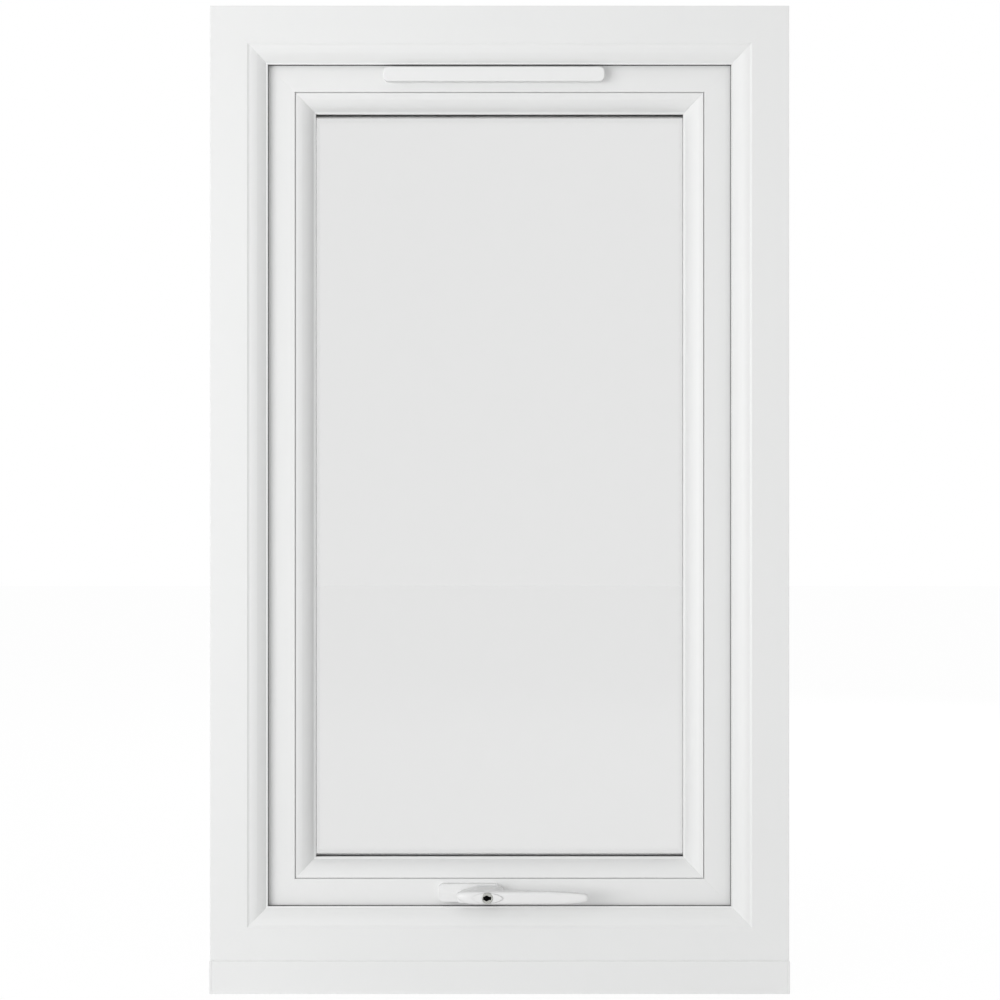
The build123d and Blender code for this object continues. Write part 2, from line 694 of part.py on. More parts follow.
def espag_recess():
    """What the latch needs routed out of the sash's bottom rail."""
    groove = Plane(origin=(0, ESPAG_Y, SASH_UNDERSIDE)) * SlotOverall(2 * FACEPLATE_HALF, FACEPLATE_WIDTH)
    half = FACEPLATE_WIDTH / 2 - RAIL_NARROW + RUNNING_GAP
    case_x, case_y = GEARBOX_LENGTH / 2 + RUNNING_GAP, GEAR_WIDTH / 2 + GEARBOX_WALL + RUNNING_GAP
    spindle = room_plane(HANDLE_X, HANDLE_Z, ESPAG_Y) * Circle(SPINDLE * 0.75)
    return [
        extrude(groove, FACEPLATE_THICK),
        block(RAIL_START - 1, RAIL_STOP + TRAVEL + 1, ESPAG_Y - half, ESPAG_Y + half,
              SASH_UNDERSIDE, RAIL_HIGH + RUNNING_GAP),
        block(HANDLE_X - case_x, HANDLE_X + case_x, ESPAG_Y - case_y, ESPAG_Y + case_y,
              SASH_UNDERSIDE, CASE_HIGH + RUNNING_GAP),
        extrude(spindle, ESPAG_Y - SASH_FACE),
    ]


def make_keep(x):
    """Keep on the frame's rebate: rounded base plate, low wall and two screws."""
    floor = BOTTOM + REBATE
    wall_top = SASH_UNDERSIDE - CAM_DROP - RUNNING_GAP
    plane = Plane(origin=(x, ESPAG_Y, floor))
    keep = extrude(plane * RectangleRounded(KEEP_LENGTH, KEEP_WIDTH, KEEP_CORNER), KEEP_PLATE)
    wall_y = ESPAG_Y + CAM_RADIUS + KEEP_PLATE / 2
    middle = x - KEEP_CORNER
    wall = block(middle - KEEP_WALL_LENGTH / 2, middle + KEEP_WALL_LENGTH / 2,
                 wall_y, wall_y + KEEP_PLATE, floor, wall_top)
    keep += chamfer(wall.edges().filter_by(Axis.Y).group_by(Axis.Z)[-1], KEEP_PLATE / 2)
    screws = []
    for dx in (-KEEP_SCREW, KEEP_SCREW):
        screws.append(screw(x + dx, ESPAG_Y, floor + KEEP_PLATE, (0, 0, -1), SCREW_LENGTH))
        keep -= screws[-1]
    return keep, screws


def make_base():
    """Metal base plate on two screws and the gabled cover that hides them."""
    back = room_plane(HANDLE_X, HANDLE_Z, SASH_FACE)
    half = BASE_WIDTH / 2
    gable = outline([
        (SASH_FACE, HANDLE_Z - half), (SASH_FACE, HANDLE_Z + half), (SASH_FACE - BASE_EDGE, HANDLE_Z + half),
        (SASH_FACE - BASE_RIDGE, HANDLE_Z), (SASH_FACE - BASE_EDGE, HANDLE_Z - half),
    ])
    cover = extrude(back * RectangleRounded(BASE_LENGTH, BASE_WIDTH, BASE_CORNER), BASE_RIDGE)
    cover = fillet(cover.edges().group_by(Axis.Y)[0], BASE_ROUND)
    cover &= extrude(run_plane(HANDLE_X - BASE_LENGTH) * gable, 2 * BASE_LENGTH)
    wall = COVER_WALL
    inside = RectangleRounded(BASE_LENGTH - 2 * wall, BASE_WIDTH - 2 * wall, BASE_CORNER - wall)
    cover -= extrude(back * inside, BASE_EDGE - wall)
    shy = wall + RUNNING_GAP / 2
    plate_face = RectangleRounded(BASE_LENGTH - 2 * shy, BASE_WIDTH - 2 * shy, BASE_CORNER - shy)
    plate = extrude(back * plate_face, BASE_PLATE)
    hole = extrude(back * Circle(SPINDLE * 0.75), BASE_RIDGE + 1)
    cover, plate = cover - hole, plate - hole
    screws = []
    for dx in (-BASE_SCREW, BASE_SCREW):
        screws.append(screw(HANDLE_X + dx, SASH_FACE - BASE_PLATE, HANDLE_Z, (0, 1, 0), BASE_SCREW_LENGTH))
        plate -= screws[-1]
    return cover, plate, screws


def landing(start, centre, radius):
    """End and middle of the arc that leaves a level line at start and runs into a circle."""
    dx, dy = centre[0] - start[0], centre[1] - start[1]
    up = math.copysign(1, dy)
    arc = (dx * dx + dy * dy - radius * radius) / (2 * (abs(dy) - radius))
    middle = start[1] + up * arc
    reach = arc / (arc - radius)
    end = (start[0] + dx * reach, middle + up * (abs(dy) - arc) * reach)
    turn = math.atan2(end[0] - start[0], up * (middle - end[1])) / 2
    return end, (start[0] + arc * math.sin(turn), middle - up * arc * math.cos(turn))


def lever_face():
    """Front view of the lever about its spindle: full heel, straight grip and drawn-in tip."""
    tip = (LEVER_REACH - LEVER_TIP, 0)
    heel = (HEEL_RADIUS - LEVER_HEEL, LEVER_ABOVE - HEEL_RADIUS)
    low_end, top_end = (tip[0] - LEVER_TAPER_LOW, -LEVER_BELOW), (tip[0] - LEVER_TAPER_TOP, LEVER_ABOVE)
    toe, brow = (LEVER_TOE, -LEVER_BELOW), (heel[0], LEVER_ABOVE)
    tip_low, low_middle = landing(low_end, tip, LEVER_TIP)
    tip_top, top_middle = landing(top_end, tip, LEVER_TIP)
    heel_low, heel_middle = landing(toe, heel, HEEL_RADIUS)
    return make_face(Curve() + [
        Line(toe, low_end), ThreePointArc(low_end, low_middle, tip_low),
        ThreePointArc(tip_low, (LEVER_REACH, 0), tip_top), ThreePointArc(tip_top, top_middle, top_end),
        Line(top_end, brow), ThreePointArc(brow, (-LEVER_HEEL, heel[1]), heel_low),
        ThreePointArc(heel_low, heel_middle, toe),
    ])


def make_lever():
    """Lever with its neck, the leaf-shaped recess round the lock and the two bores."""
    front = SASH_FACE - LEVER_STAND
    back = front + LEVER_THICK
    grip = extrude(room_plane(HANDLE_X, HANDLE_Z, back) * lever_face(), LEVER_THICK)
    tip_x, root_x = HANDLE_X + LEVER_REACH, HANDLE_X - LEVER_HEEL
    side_view = outline([
        (root_x - 1, front), (tip_x + 1, front), (tip_x + 1, front + LEVER_TIP_THICK),
        (HANDLE_X + NECK_RIGHT, back), (root_x - 1, back),
    ], {2: 0.8})
    grip &= extrude(Plane(origin=(0, 0, HANDLE_Z - LEVER_REACH)) * side_view, 2 * LEVER_REACH)
    neck_back = SASH_FACE - BASE_RIDGE - LEVER_GAP
    middle = HANDLE_X + (NECK_RIGHT - NECK_LEFT) / 2
    length = NECK_RIGHT + NECK_LEFT
    slim = LEVER_ABOVE + LEVER_BELOW
    rear = room_plane(middle, HANDLE_Z, neck_back) * SlotOverall(length, NECK_HEIGHT)
    near = room_plane(middle + 1, HANDLE_Z + (LEVER_ABOVE - LEVER_BELOW) / 2, back - 1)
    lever = grip + loft([rear, near * SlotOverall(length - 2, slim - 0.4)])
    lever = fillet(lever.edges().group_by(Axis.Y)[0], LEVER_ROUND)
    tilt = math.atan2(LENS_DEPTH, LENS_LENGTH)
    lens = outline([(0, 0), (LENS_LENGTH, 0)], {0: LENS_HALF, 1: LENS_HALF})
    lens_plane = Plane(
        origin=(HANDLE_X + LENS_START, front, HANDLE_Z), x_dir=(math.cos(tilt), math.sin(tilt), 0),
        z_dir=(math.sin(tilt), -math.cos(tilt), 0))
    lever -= extrude(lens_plane * lens, 3 * LENS_DEPTH)
    socket = SPINDLE / 2 + SPINDLE_FIT
    lever -= block(HANDLE_X - socket, HANDLE_X + socket, back + 1, neck_back + 1,
                   HANDLE_Z - socket, HANDLE_Z + socket)
    bore = room_plane(HANDLE_X + LOCK_OFFSET, HANDLE_Z, front + LOCK_DEPTH)
    return lever - extrude(bore * Circle(LOCK_RADIUS + PIN_CLEARANCE), LOCK_DEPTH + 1)


def make_lock():
    """Lock cylinder with its keyway."""
    front = SASH_FACE - LEVER_STAND
    x = HANDLE_X + LOCK_OFFSET
    back = room_plane(x, HANDLE_Z, front + LOCK_DEPTH - RUNNING_GAP)
    cylinder = extrude(back * Circle(LOCK_RADIUS), LOCK_DEPTH - RUNNING_GAP)
    keyway = Pos(-0.9, 0) * Circle(KEY_RADIUS) + Pos(-0.3, 0) * Rectangle(KEY_SLOT, KEY_SLOT_HEIGHT)
    return cylinder - extrude(room_plane(x, HANDLE_Z, front + KEY_DEPTH) * keyway, KEY_DEPTH + 1)


def make_handle():
    """Cover, base plate, lever, lock and spindle."""
    cover, plate, screws = make_base()
    half = SPINDLE / 2
    front = SASH_FACE - LEVER_STAND + LEVER_THICK + 1
    back = ESPAG_Y + GEAR_WIDTH / 2 + GEARBOX_WALL
    parts = {
        "handle_cover": cover,
        "handle_base": plate,
        "handle_lever": make_lever(),
        "lock_cylinder": make_lock(),
        "handle_spindle": block(
            HANDLE_X - half, HANDLE_X + half, front, back, HANDLE_Z - half, HANDLE_Z + half),
    }
    return parts, screws


def vent_slot_face():
    return Rectangle(VENT_LENGTH - 2 * VENT_SLOT_END, VENT_SLOT_HEIGHT)


def hinge_bar(radius, length):
    """Round bar on the vent's hinge line."""
    axis_y = SASH_FACE - VENT_BODY_THICK + HINGE_RADIUS / 3
    axis_z = VENT_Z - VENT_HEIGHT / 2 + HINGE_RISE
    plane = run_plane(VENT_X - length / 2) * Pos(axis_y, axis_z)
    return extrude(plane * Circle(radius), length)


def make_vent_body():
    """Body on the sash, with the air slot, a ledge for the hinge and a pin hole at each end."""
    back = room_plane(VENT_X, VENT_Z, SASH_FACE)
    inset = 2 * VENT_INSET
    face = RectangleRounded(VENT_LENGTH - inset, VENT_HEIGHT - inset, VENT_CORNER - VENT_INSET)
    body = extrude(back * (face - vent_slot_face()), VENT_BODY_THICK)
    bottom, front = VENT_Z - VENT_HEIGHT / 2, SASH_FACE - VENT_BODY_THICK
    half = VENT_LENGTH / 2 - HINGE_END + RUNNING_GAP
    clear = HINGE_RADIUS + RUNNING_GAP
    body -= block(VENT_X - half, VENT_X + half, front - 1, front + HINGE_RADIUS / 3 + clear,
                  bottom - 1, bottom + HINGE_RISE + clear)
    pin_length = 2 * (half + HINGE_PIN_LENGTH)
    return body - hinge_bar(HINGE_PIN + PIN_CLEARANCE, pin_length)


def make_vent_flap():
    """Hollow flap, relieved behind its lower edge so that it can tilt, with hinge barrel and pins."""
    back = SASH_FACE - VENT_BODY_THICK - RUNNING_GAP
    thick = VENT_PROUD - VENT_BODY_THICK - RUNNING_GAP
    plane = room_plane(VENT_X, VENT_Z, back)
    flap = extrude(plane * RectangleRounded(VENT_LENGTH, VENT_HEIGHT, VENT_CORNER), thick)
    flap = fillet(flap.edges().group_by(Axis.Y)[0], VENT_ROUND)
    low = HINGE_RISE + HINGE_RADIUS
    height = VENT_HEIGHT - low - VENT_WALL
    inside = Pos(0, (low - VENT_WALL) / 2) * Rectangle(VENT_LENGTH - 2 * VENT_CORNER, height)
    flap -= extrude(plane * inside, thick - VENT_WALL)
    bottom = VENT_Z - VENT_HEIGHT / 2
    below, hinge = bottom - 1, bottom + HINGE_RISE
    deepest = back - FLAP_RELIEF * (hinge - below) / HINGE_RISE
    relief = outline([(back, hinge), (deepest, below), (back + 1, below), (back + 1, hinge)])
    flap -= extrude(run_plane(VENT_X - VENT_LENGTH / 2 - 1) * relief, VENT_LENGTH + 2)
    barrel = VENT_LENGTH - 2 * HINGE_END
    return flap + hinge_bar(HINGE_RADIUS, barrel) + hinge_bar(HINGE_PIN, barrel + 2 * HINGE_PIN_LENGTH)


def make_canopy():
    """Outer hood, open below, that keeps rain off the slot."""
    half, wall, front = CANOPY_HEIGHT / 2, CANOPY_WALL, SASH_OUT + CANOPY_DEPTH
    hood = outline([
        (SASH_OUT, VENT_Z - half), (front, VENT_Z - half), (front, VENT_Z + half - CANOPY_SLOPE),
        (SASH_OUT, VENT_Z + half),
    ])
    inside = outline([
        (SASH_OUT - 1, VENT_Z - half - 1), (front - wall, VENT_Z - half - 1),
        (front - wall, VENT_Z + half - CANOPY_SLOPE - wall / 2), (SASH_OUT - 1, VENT_Z + half - wall),
    ])
    start = VENT_X - VENT_LENGTH / 2
    canopy = extrude(run_plane(start) * hood, VENT_LENGTH)
    return canopy - extrude(run_plane(start + wall) * inside, VENT_LENGTH - 2 * wall)


def main():
    parts = {}
    parts["cill"], caps = make_cill()
    frame_screws, sash_screws, keep_screws = [], [], []
    for side, sign in (("left", -1), ("right", 1)):
        track, plate, long_arm, short_arm, on_frame, on_sash = make_stay(sign)
        parts["stay_track_" + side] = track
        parts["stay_sash_plate_" + side] = plate
        parts["stay_long_arm_" + side] = long_arm
        parts["stay_short_arm_" + side] = short_arm
        frame_screws += on_frame
        sash_screws += on_sash
        parts["cill_end_cap_" + side] = caps[side]
        keep, on_keep = make_keep(CAM_PLACES[0] if sign < 0 else CAM_PLACES[1])
        parts["keep_" + side] = keep
        keep_screws += on_keep
    espag, face_screws = make_espag()
    handle, handle_screws = make_handle()
    parts.update(espag)
    parts.update(handle)

    frame_names = ("frame_jamb_left", "frame_jamb_right", "frame_head", "frame_bottom_rail")
    sash_names = ("sash_stile_left", "sash_stile_right", "sash_top_rail", "sash_bottom_rail")
    bead_names = ("bead_left", "bead_right", "bead_top", "bead_bottom")
    frame_cuts = fixing_holes() + drain_slots() + frame_screws + keep_screws
    vent_slot = extrude(room_plane(VENT_X, VENT_Z, SASH_OUT) * vent_slot_face(), SASH_OUT - SASH_FACE)
    sash_cuts = espag_recess() + handle_screws + sash_screws + face_screws + [vent_slot]
    for side, frame_name, sash_name, bead_name in zip(SIDES, frame_names, sash_names, bead_names):
        parts[frame_name] = mitred(frame_section(), side, FRAME_RING, FRAME_FACE + 1) - frame_cuts
        parts[sash_name] = mitred(sash_section(), side, SASH_RING, PLATFORM + UPSTAND + 1) - sash_cuts
        parts[bead_name] = mitred(bead_section(), side, SASH_RING, BEAD_END + 1)
    parts["frame_reinforcement"] = steel_bars(frame_steel_cell(), FRAME_RING, frame_cuts)
    parts["sash_reinforcement"] = steel_bars(sash_steel_cell(), SASH_RING, sash_cuts)
    parts["frame_weather_seal"] = ring_solid(frame_seal_section(), FRAME_RING, FRAME_FACE + 1)
    parts["sash_weather_seal"] = ring_solid(sash_seal_section(), SASH_RING, SASH_FLANGE)
    parts.update(make_glazing())
    parts["vent_body"] = make_vent_body()
    parts["vent_flap"] = make_vent_flap()
    parts["vent_canopy"] = make_canopy()
    parts["keep_screws"] = group(keep_screws)
    parts["faceplate_screws"] = group(face_screws)
    parts["stay_frame_screws"] = group(frame_screws)
    parts["stay_sash_screws"] = group(sash_screws)
    parts["handle_screws"] = group(handle_screws)

    os.makedirs("parts", exist_ok=True)
    for name, shape in parts.items():
        export_step(shape, "parts/" + name + ".step")
    print(len(parts), "pieces")


main()
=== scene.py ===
"""Looks of a top-hung white window: extruded profiles, glazing, stays, latch, handle and vent."""
import math

import bmesh
import bpy
from mathutils import Matrix, Vector


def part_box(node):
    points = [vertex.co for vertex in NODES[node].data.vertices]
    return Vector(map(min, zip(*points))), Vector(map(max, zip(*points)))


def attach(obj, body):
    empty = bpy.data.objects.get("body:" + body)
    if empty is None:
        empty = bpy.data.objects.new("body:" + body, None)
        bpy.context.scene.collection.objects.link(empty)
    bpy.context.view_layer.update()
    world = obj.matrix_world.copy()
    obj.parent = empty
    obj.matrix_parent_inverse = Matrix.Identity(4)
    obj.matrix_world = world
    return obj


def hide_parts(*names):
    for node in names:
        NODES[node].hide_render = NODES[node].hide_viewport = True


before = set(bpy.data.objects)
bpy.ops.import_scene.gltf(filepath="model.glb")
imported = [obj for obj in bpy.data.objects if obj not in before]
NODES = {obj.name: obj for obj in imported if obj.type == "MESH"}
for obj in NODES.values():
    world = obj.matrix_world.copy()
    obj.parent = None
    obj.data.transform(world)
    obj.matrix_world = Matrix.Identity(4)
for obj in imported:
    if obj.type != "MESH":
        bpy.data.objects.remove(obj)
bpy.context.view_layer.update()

bl_info = {
    "name": "Top-hung window",
    "version": (1, 0, 0),
    "blender": (4, 5, 0),
    "location": "View3D > Sidebar > Window",
    "description": "Builds the visible pieces of a white top-hung window",
    "category": "Add Mesh",
}

MM = 0.001
WELD = 2e-6
SMOOTH_ANGLE = math.radians(40)
BEVEL_ANGLE = math.radians(35)
CREASE_ANGLE = math.radians(60)
LEVER_ANGLE = math.radians(50)
ROUND_SEGMENTS = 32
SCREW_SEGMENTS = 24
HEAD_RADIUS, HEAD_HEIGHT, SHANK_RADIUS = 0.0038, 0.0016, 0.002


def low(node):
    """Lower corner of a node's box, in millimetres."""
    return [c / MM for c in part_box(node)[0]]


def high(node):
    """Upper corner of a node's box, in millimetres."""
    return [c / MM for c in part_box(node)[1]]


def middle(node):
    """Middle of a node's box, in millimetres."""
    return [(a + b) / 2 for a, b in zip(low(node), high(node))]


def ring_of(head, bottom):
    """Half width, underside and top of a ring of profiles, in millimetres."""
    return high(head)[0], low(bottom)[2], high(head)[2]


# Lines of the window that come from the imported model, in millimetres: y from the room outwards,
# and the beads' places measured inwards from the sash's edge
ROOM = low("frame_head")[1]
OUTSIDE = high("frame_head")[1]
FRAME_RING = ring_of("frame_head", "frame_bottom_rail")
SASH_RING = ring_of("sash_top_rail", "sash_bottom_rail")
FRAME_FACE = high("frame_jamb_left")[0] - low("frame_jamb_left")[0]
SASH_FACE = low("sash_stile_left")[1]
SASH_OUT = high("sash_stile_left")[1]
SASH_UNDER = low("espag_faceplate")[2]
GLASS_IN = low("glass_inner")[1]
GLASS_OUT = high("glass_outer")[1]
BEAD_START = low("bead_left")[0] - low("sash_stile_left")[0]
BEAD_END = high("bead_left")[0] - low("sash_stile_left")[0]
BEAD_REAR = high("bead_left")[1]
SEAL_SEAT = ROOM + 14.0
UPSTAND_IN = SASH_OUT - 10.0


class WindowSizes(bpy.types.PropertyGroup):
    """Sizes that the profiles are drawn with."""
    edge_radius: bpy.props.FloatProperty(
        name="Edge radius", description="Rounding of the extruded profiles' edges",
        default=0.0007, min=0.0001, subtype="DISTANCE", unit="LENGTH")
    spacer_set_back: bpy.props.FloatProperty(
        name="Spacer set-back", description="How far the spacer lies behind the bead's glass edge",
        default=0.0037, min=0.0, subtype="DISTANCE", unit="LENGTH")
    flap_thickness: bpy.props.FloatProperty(
        name="Vent flap thickness", description="Thickness of the trickle vent's flap",
        default=0.0058, min=0.003, subtype="DISTANCE", unit="LENGTH")
    seam_depth: bpy.props.FloatProperty(
        name="Weld seam depth", description="Depth of the cleaned weld line at each mitre",
        default=0.00012, min=0.0, subtype="DISTANCE", unit="LENGTH")
    seam_width: bpy.props.FloatProperty(
        name="Weld seam width", description="Half width of the weld line at each mitre",
        default=0.0006, min=0.0, subtype="DISTANCE", unit="LENGTH")
    frame_roll: bpy.props.FloatProperty(
        name="Frame roll", description="Swell of the frame's roll moulding",
        default=0.00035, min=0.0001, subtype="DISTANCE", unit="LENGTH")
    bead_roll: bpy.props.FloatProperty(
        name="Bead roll", description="Swell of the glazing bead's moulding",
        default=0.0002, min=0.0001, subtype="DISTANCE", unit="LENGTH")
    voxel: bpy.props.FloatProperty(
        name="Lever detail", description="Grid size that blends the lever's forms",
        default=0.00045, min=0.0002, subtype="DISTANCE", unit="LENGTH")


class WindowColours(bpy.types.PropertyGroup):
    """Colours of the finishes."""
    white: bpy.props.FloatVectorProperty(
        name="White profile", description="Colour of the extruded profiles",
        default=(0.865, 0.870, 0.866), size=3, subtype="COLOR", min=0.0, max=1.0)
    handle_white: bpy.props.FloatVectorProperty(
        name="White handle", description="Colour of the coated handle",
        default=(0.87, 0.872, 0.87), size=3, subtype="COLOR", min=0.0, max=1.0)
    rubber: bpy.props.FloatVectorProperty(
        name="Seal", description="Colour of the seals",
        default=(0.012, 0.012, 0.012), size=3, subtype="COLOR", min=0.0, max=1.0)
    glass: bpy.props.FloatVectorProperty(
        name="Glass", description="Tint of each pane",
        default=(0.879, 0.880, 0.879), size=3, subtype="COLOR", min=0.0, max=1.0)
    steel: bpy.props.FloatVectorProperty(
        name="Stainless steel", description="Colour of the stays and the latch",
        default=(0.55, 0.55, 0.54), size=3, subtype="COLOR", min=0.0, max=1.0)


def size(name):
    """One of the window's sizes, in millimetres."""
    return getattr(bpy.context.scene.window_sizes, name) / MM


def colour(name):
    return tuple(getattr(bpy.context.scene.window_colours, name))


# Nodes
class Link:
    """An output of a node, whose operators add Math nodes."""

    def __init__(self, graph, socket):
        self.graph, self.socket = graph, socket

    def beside(self, name):
        """Another output of the same node."""
        return Link(self.graph, self.socket.node.outputs[name])

    def maths(self, operation, other):
        return self.graph.node("ShaderNodeMath", {"operation": operation}, {0: self, 1: other})

    def __add__(self, other):
        return self.maths("ADD", other)

    def __mul__(self, other):
        return self.maths("MULTIPLY", other)

    __radd__, __rmul__ = __add__, __mul__


class Graph:
    """A node tree of any kind, built from nothing."""

    def __init__(self, tree):
        self.tree = tree
        tree.nodes.clear()

    def node(self, kind, settings=None, sockets=None, output=0):
        """Adds a node: its settings first, then the values or links of its sockets."""
        node = self.tree.nodes.new(kind)
        for key, value in (settings or {}).items():
            setattr(node, key, value)
        for key, value in (sockets or {}).items():
            for item in value if isinstance(value, list) else [value]:
                if isinstance(item, Link):
                    self.tree.links.new(item.socket, node.inputs[key])
                else:
                    node.inputs[key].default_value = item
        return Link(self, node.outputs[output]) if len(node.outputs) else None


class Finish(Graph):
    """A node material with one Principled shader."""

    def __init__(self, name, base, **inputs):
        self.material = bpy.data.materials.new(name)
        self.material.use_nodes = True
        super().__init__(self.material.node_tree)
        sockets = {key.replace("_", " "): value for key, value in inputs.items()}
        sockets["Base Color"] = (*base, 1)
        surface = self.node("ShaderNodeBsdfPrincipled", {}, sockets)
        self.shader = surface.socket.node
        self.node("ShaderNodeOutputMaterial", {}, {"Surface": surface})

    def place(self, stretch):
        """Object coordinates, stretched."""
        coordinates = self.node("ShaderNodeTexCoord", output="Object")
        return self.node("ShaderNodeMapping", {}, {"Vector": coordinates, "Scale": stretch})

    def noise(self, scale, detail, stretch=(1, 1, 1)):
        return self.node("ShaderNodeTexNoise", {}, {
            "Vector": self.place(stretch), "Scale": scale, "Detail": detail})

    def feed(self, name, link):
        self.tree.links.new(link.socket, self.shader.inputs[name])

    def tint(self, dark, light, factor):
        """Base colour between two colours."""
        factor_in, a_in, b_in, result_out = 0, 6, 7, 2
        self.feed("Base Color", self.node("ShaderNodeMix", {"data_type": "RGBA"}, {
            factor_in: factor, a_in: (*dark, 1), b_in: (*light, 1)}, result_out))

    def bump(self, height, distance, strength=0.5):
        self.feed("Normal", self.node("ShaderNodeBump", {}, {
            "Strength": strength, "Distance": distance, "Height": height}))


def shade(base, factor):
    return tuple(min(1.0, c * factor) for c in base)


def white_profile():
    """Extruded white plastic: satin gloss with a fine mottle."""
    white = colour("white")
    f = Finish("white_profile", white, Roughness=0.4, IOR=1.5)
    mottle = f.noise(scale=900, detail=2)
    f.tint(shade(white, 0.992), shade(white, 1.006), f.noise(scale=9, detail=2))
    f.feed("Roughness", mottle * 0.08 + 0.37)
    f.bump(mottle, distance=0.00002)
    return f.material


def white_moulded():
    """Injection-moulded white plastic with a fine grain."""
    white = shade(colour("white"), 1.012)
    f = Finish("white_moulded", white, Roughness=0.36, IOR=1.5)
    grain = f.noise(scale=2600, detail=3)
    f.tint(shade(white, 0.994), shade(white, 1.005), f.noise(scale=30, detail=2))
    f.feed("Roughness", grain * 0.12 + 0.3)
    f.bump(grain, distance=0.00002)
    return f.material


def white_coating():
    """Powder-coated die casting with a slight orange peel."""
    white = colour("handle_white")
    f = Finish("white_coating", white, Roughness=0.36, IOR=1.5)
    peel = f.noise(scale=420, detail=2)
    f.tint(shade(white, 0.992), shade(white, 1.004), f.noise(scale=60, detail=2))
    f.feed("Roughness", f.noise(scale=900, detail=2) * 0.1 + 0.32)
    f.bump(peel, distance=0.00006)
    return f.material


def black_rubber():
    """Matt seals, greyer in places."""
    rubber = colour("rubber")
    f = Finish("black_rubber", rubber, Roughness=0.6, IOR=1.5)
    grain = f.noise(scale=1800, detail=3)
    f.tint(rubber, shade(rubber, 2.2), f.noise(scale=40, detail=3))
    f.feed("Roughness", grain * 0.2 + 0.5)
    f.bump(grain, distance=0.00004)
    return f.material


def spacer_black():
    """Spacer and sealant between the panes."""
    f = Finish("spacer_black", (0.045, 0.052, 0.050), Roughness=0.55, IOR=1.5)
    grain = f.noise(scale=1500, detail=3)
    f.tint((0.040, 0.047, 0.045), (0.055, 0.062, 0.060), f.noise(scale=80, detail=3))
    f.feed("Roughness", grain * 0.2 + 0.45)
    f.bump(grain, distance=0.00003, strength=0.4)
    return f.material


def clear_glass():
    """Float glass, all but mirror-smooth."""
    f = Finish("clear_glass", colour("glass"), Roughness=0.0, IOR=1.5, Transmission_Weight=1.0)
    f.feed("Roughness", f.noise(scale=6, detail=1) * 0.004)
    return f.material


def brushed_steel():
    """Stainless strip, brushed along its length."""
    steel = colour("steel")
    f = Finish("brushed_steel", steel, Roughness=0.32, Metallic=1.0)
    brush = f.noise(scale=700, detail=3, stretch=(1, 1, 0.03))
    f.tint(shade(steel, 0.9), shade(steel, 1.08), f.noise(scale=90, detail=4))
    f.feed("Roughness", brush * 0.22 + 0.22)
    f.bump(brush, distance=0.00002)
    return f.material


def plated_zinc():
    """Zinc plating with a faint spangle."""
    f = Finish("plated_zinc", (0.5, 0.51, 0.52), Roughness=0.35, Metallic=1.0)
    spangle = f.node("ShaderNodeTexVoronoi", {}, {"Vector": f.place((1, 1, 1)), "Scale": 260.0})
    f.tint((0.42, 0.43, 0.44), (0.56, 0.57, 0.58), spangle * 1.4)
    f.feed("Roughness", spangle * 0.2 + 0.28)
    f.bump(f.noise(scale=900, detail=2), distance=0.00002, strength=0.4)
    return f.material


def satin_nickel():
    """Lock face with fine turning marks."""
    f = Finish("satin_nickel", (0.46, 0.465, 0.44), Roughness=0.28, Metallic=1.0)
    marks = f.noise(scale=1600, detail=2, stretch=(1, 0.1, 1))
    f.feed("Roughness", marks * 0.15 + 0.2)
    f.bump(marks, distance=0.00001)
    return f.material


def keyway_black():
    """Painted shade of the keyway's hollow: near black, with next to no shine."""
    f = Finish("keyway_black", (0.003, 0.003, 0.003), Roughness=0.9, IOR=1.06)
    f.feed("Roughness", f.noise(scale=1200, detail=2) * 0.2 + 0.75)
    return f.material


def packer_plastic():
    """Blue plastic of the glazing packers."""
    f = Finish("packer_plastic", (0.06, 0.16, 0.4), Roughness=0.5)
    grain = f.noise(scale=900, detail=2)
    f.feed("Roughness", grain * 0.2 + 0.4)
    f.bump(grain, distance=0.00003)
    return f.material


MAKERS = {maker.__name__: maker for maker in (
    white_profile, white_moulded, white_coating, black_rubber, spacer_black, clear_glass,
    brushed_steel, plated_zinc, satin_nickel, keyway_black, packer_plastic)}
FINISHES = {}


def finish(name):
    """The material of that name, made on first use."""
    if name not in FINISHES:
        FINISHES[name] = MAKERS[name]()
    return FINISHES[name]


# Outlines, in millimetres
def swell(start, end, rise, count):
    """Points of an arc that swells by rise to the right of the way from start to end.

    Their third number, 0, keeps soften from rounding them.
    """
    (ax, ay), (bx, by) = start, end
    chord = math.hypot(bx - ax, by - ay)
    radius = (chord ** 2 / 4 + rise ** 2) / (2 * rise)
    ux, uy = (bx - ax) / chord, (by - ay) / chord
    half = math.asin(chord / 2 / radius)
    cx, cy = (ax + bx) / 2 - uy * (radius - rise), (ay + by) / 2 + ux * (radius - rise)
    points = []
    for i in range(count + 1):
        turn = -half + 2 * half * i / count
        along, out = math.sin(turn) * radius, math.cos(turn) * radius
        points.append((cx + ux * along + uy * out, cy + uy * along - ux * out, 0.0))
    return points


def soften(points, radius, steps=4):
    """Closed outline with its corners rounded; a third number is that corner's own radius."""
    nearly_straight, longest_share, shortest = math.radians(165), 0.45, 1e-6
    rounded = []
    count = len(points)
    for i, point in enumerate(points):
        p = Vector(point[:2])
        r = point[2] if len(point) > 2 else radius
        u = Vector(points[i - 1][:2]) - p
        v = Vector(points[(i + 1) % count][:2]) - p
        if u.length < shortest or v.length < shortest:
            continue
        angle = u.angle(v)
        if r <= 0 or angle > nearly_straight:
            rounded.append((p.x, p.y))
            continue
        cut = min(r / math.tan(angle / 2), longest_share * u.length, longest_share * v.length)
        start, end = p + u.normalized() * cut, p + v.normalized() * cut
        for k in range(steps + 1):
            t = k / steps
            q = start * (1 - t) ** 2 + p * 2 * t * (1 - t) + end * t ** 2
            rounded.append((q.x, q.y))
    return rounded


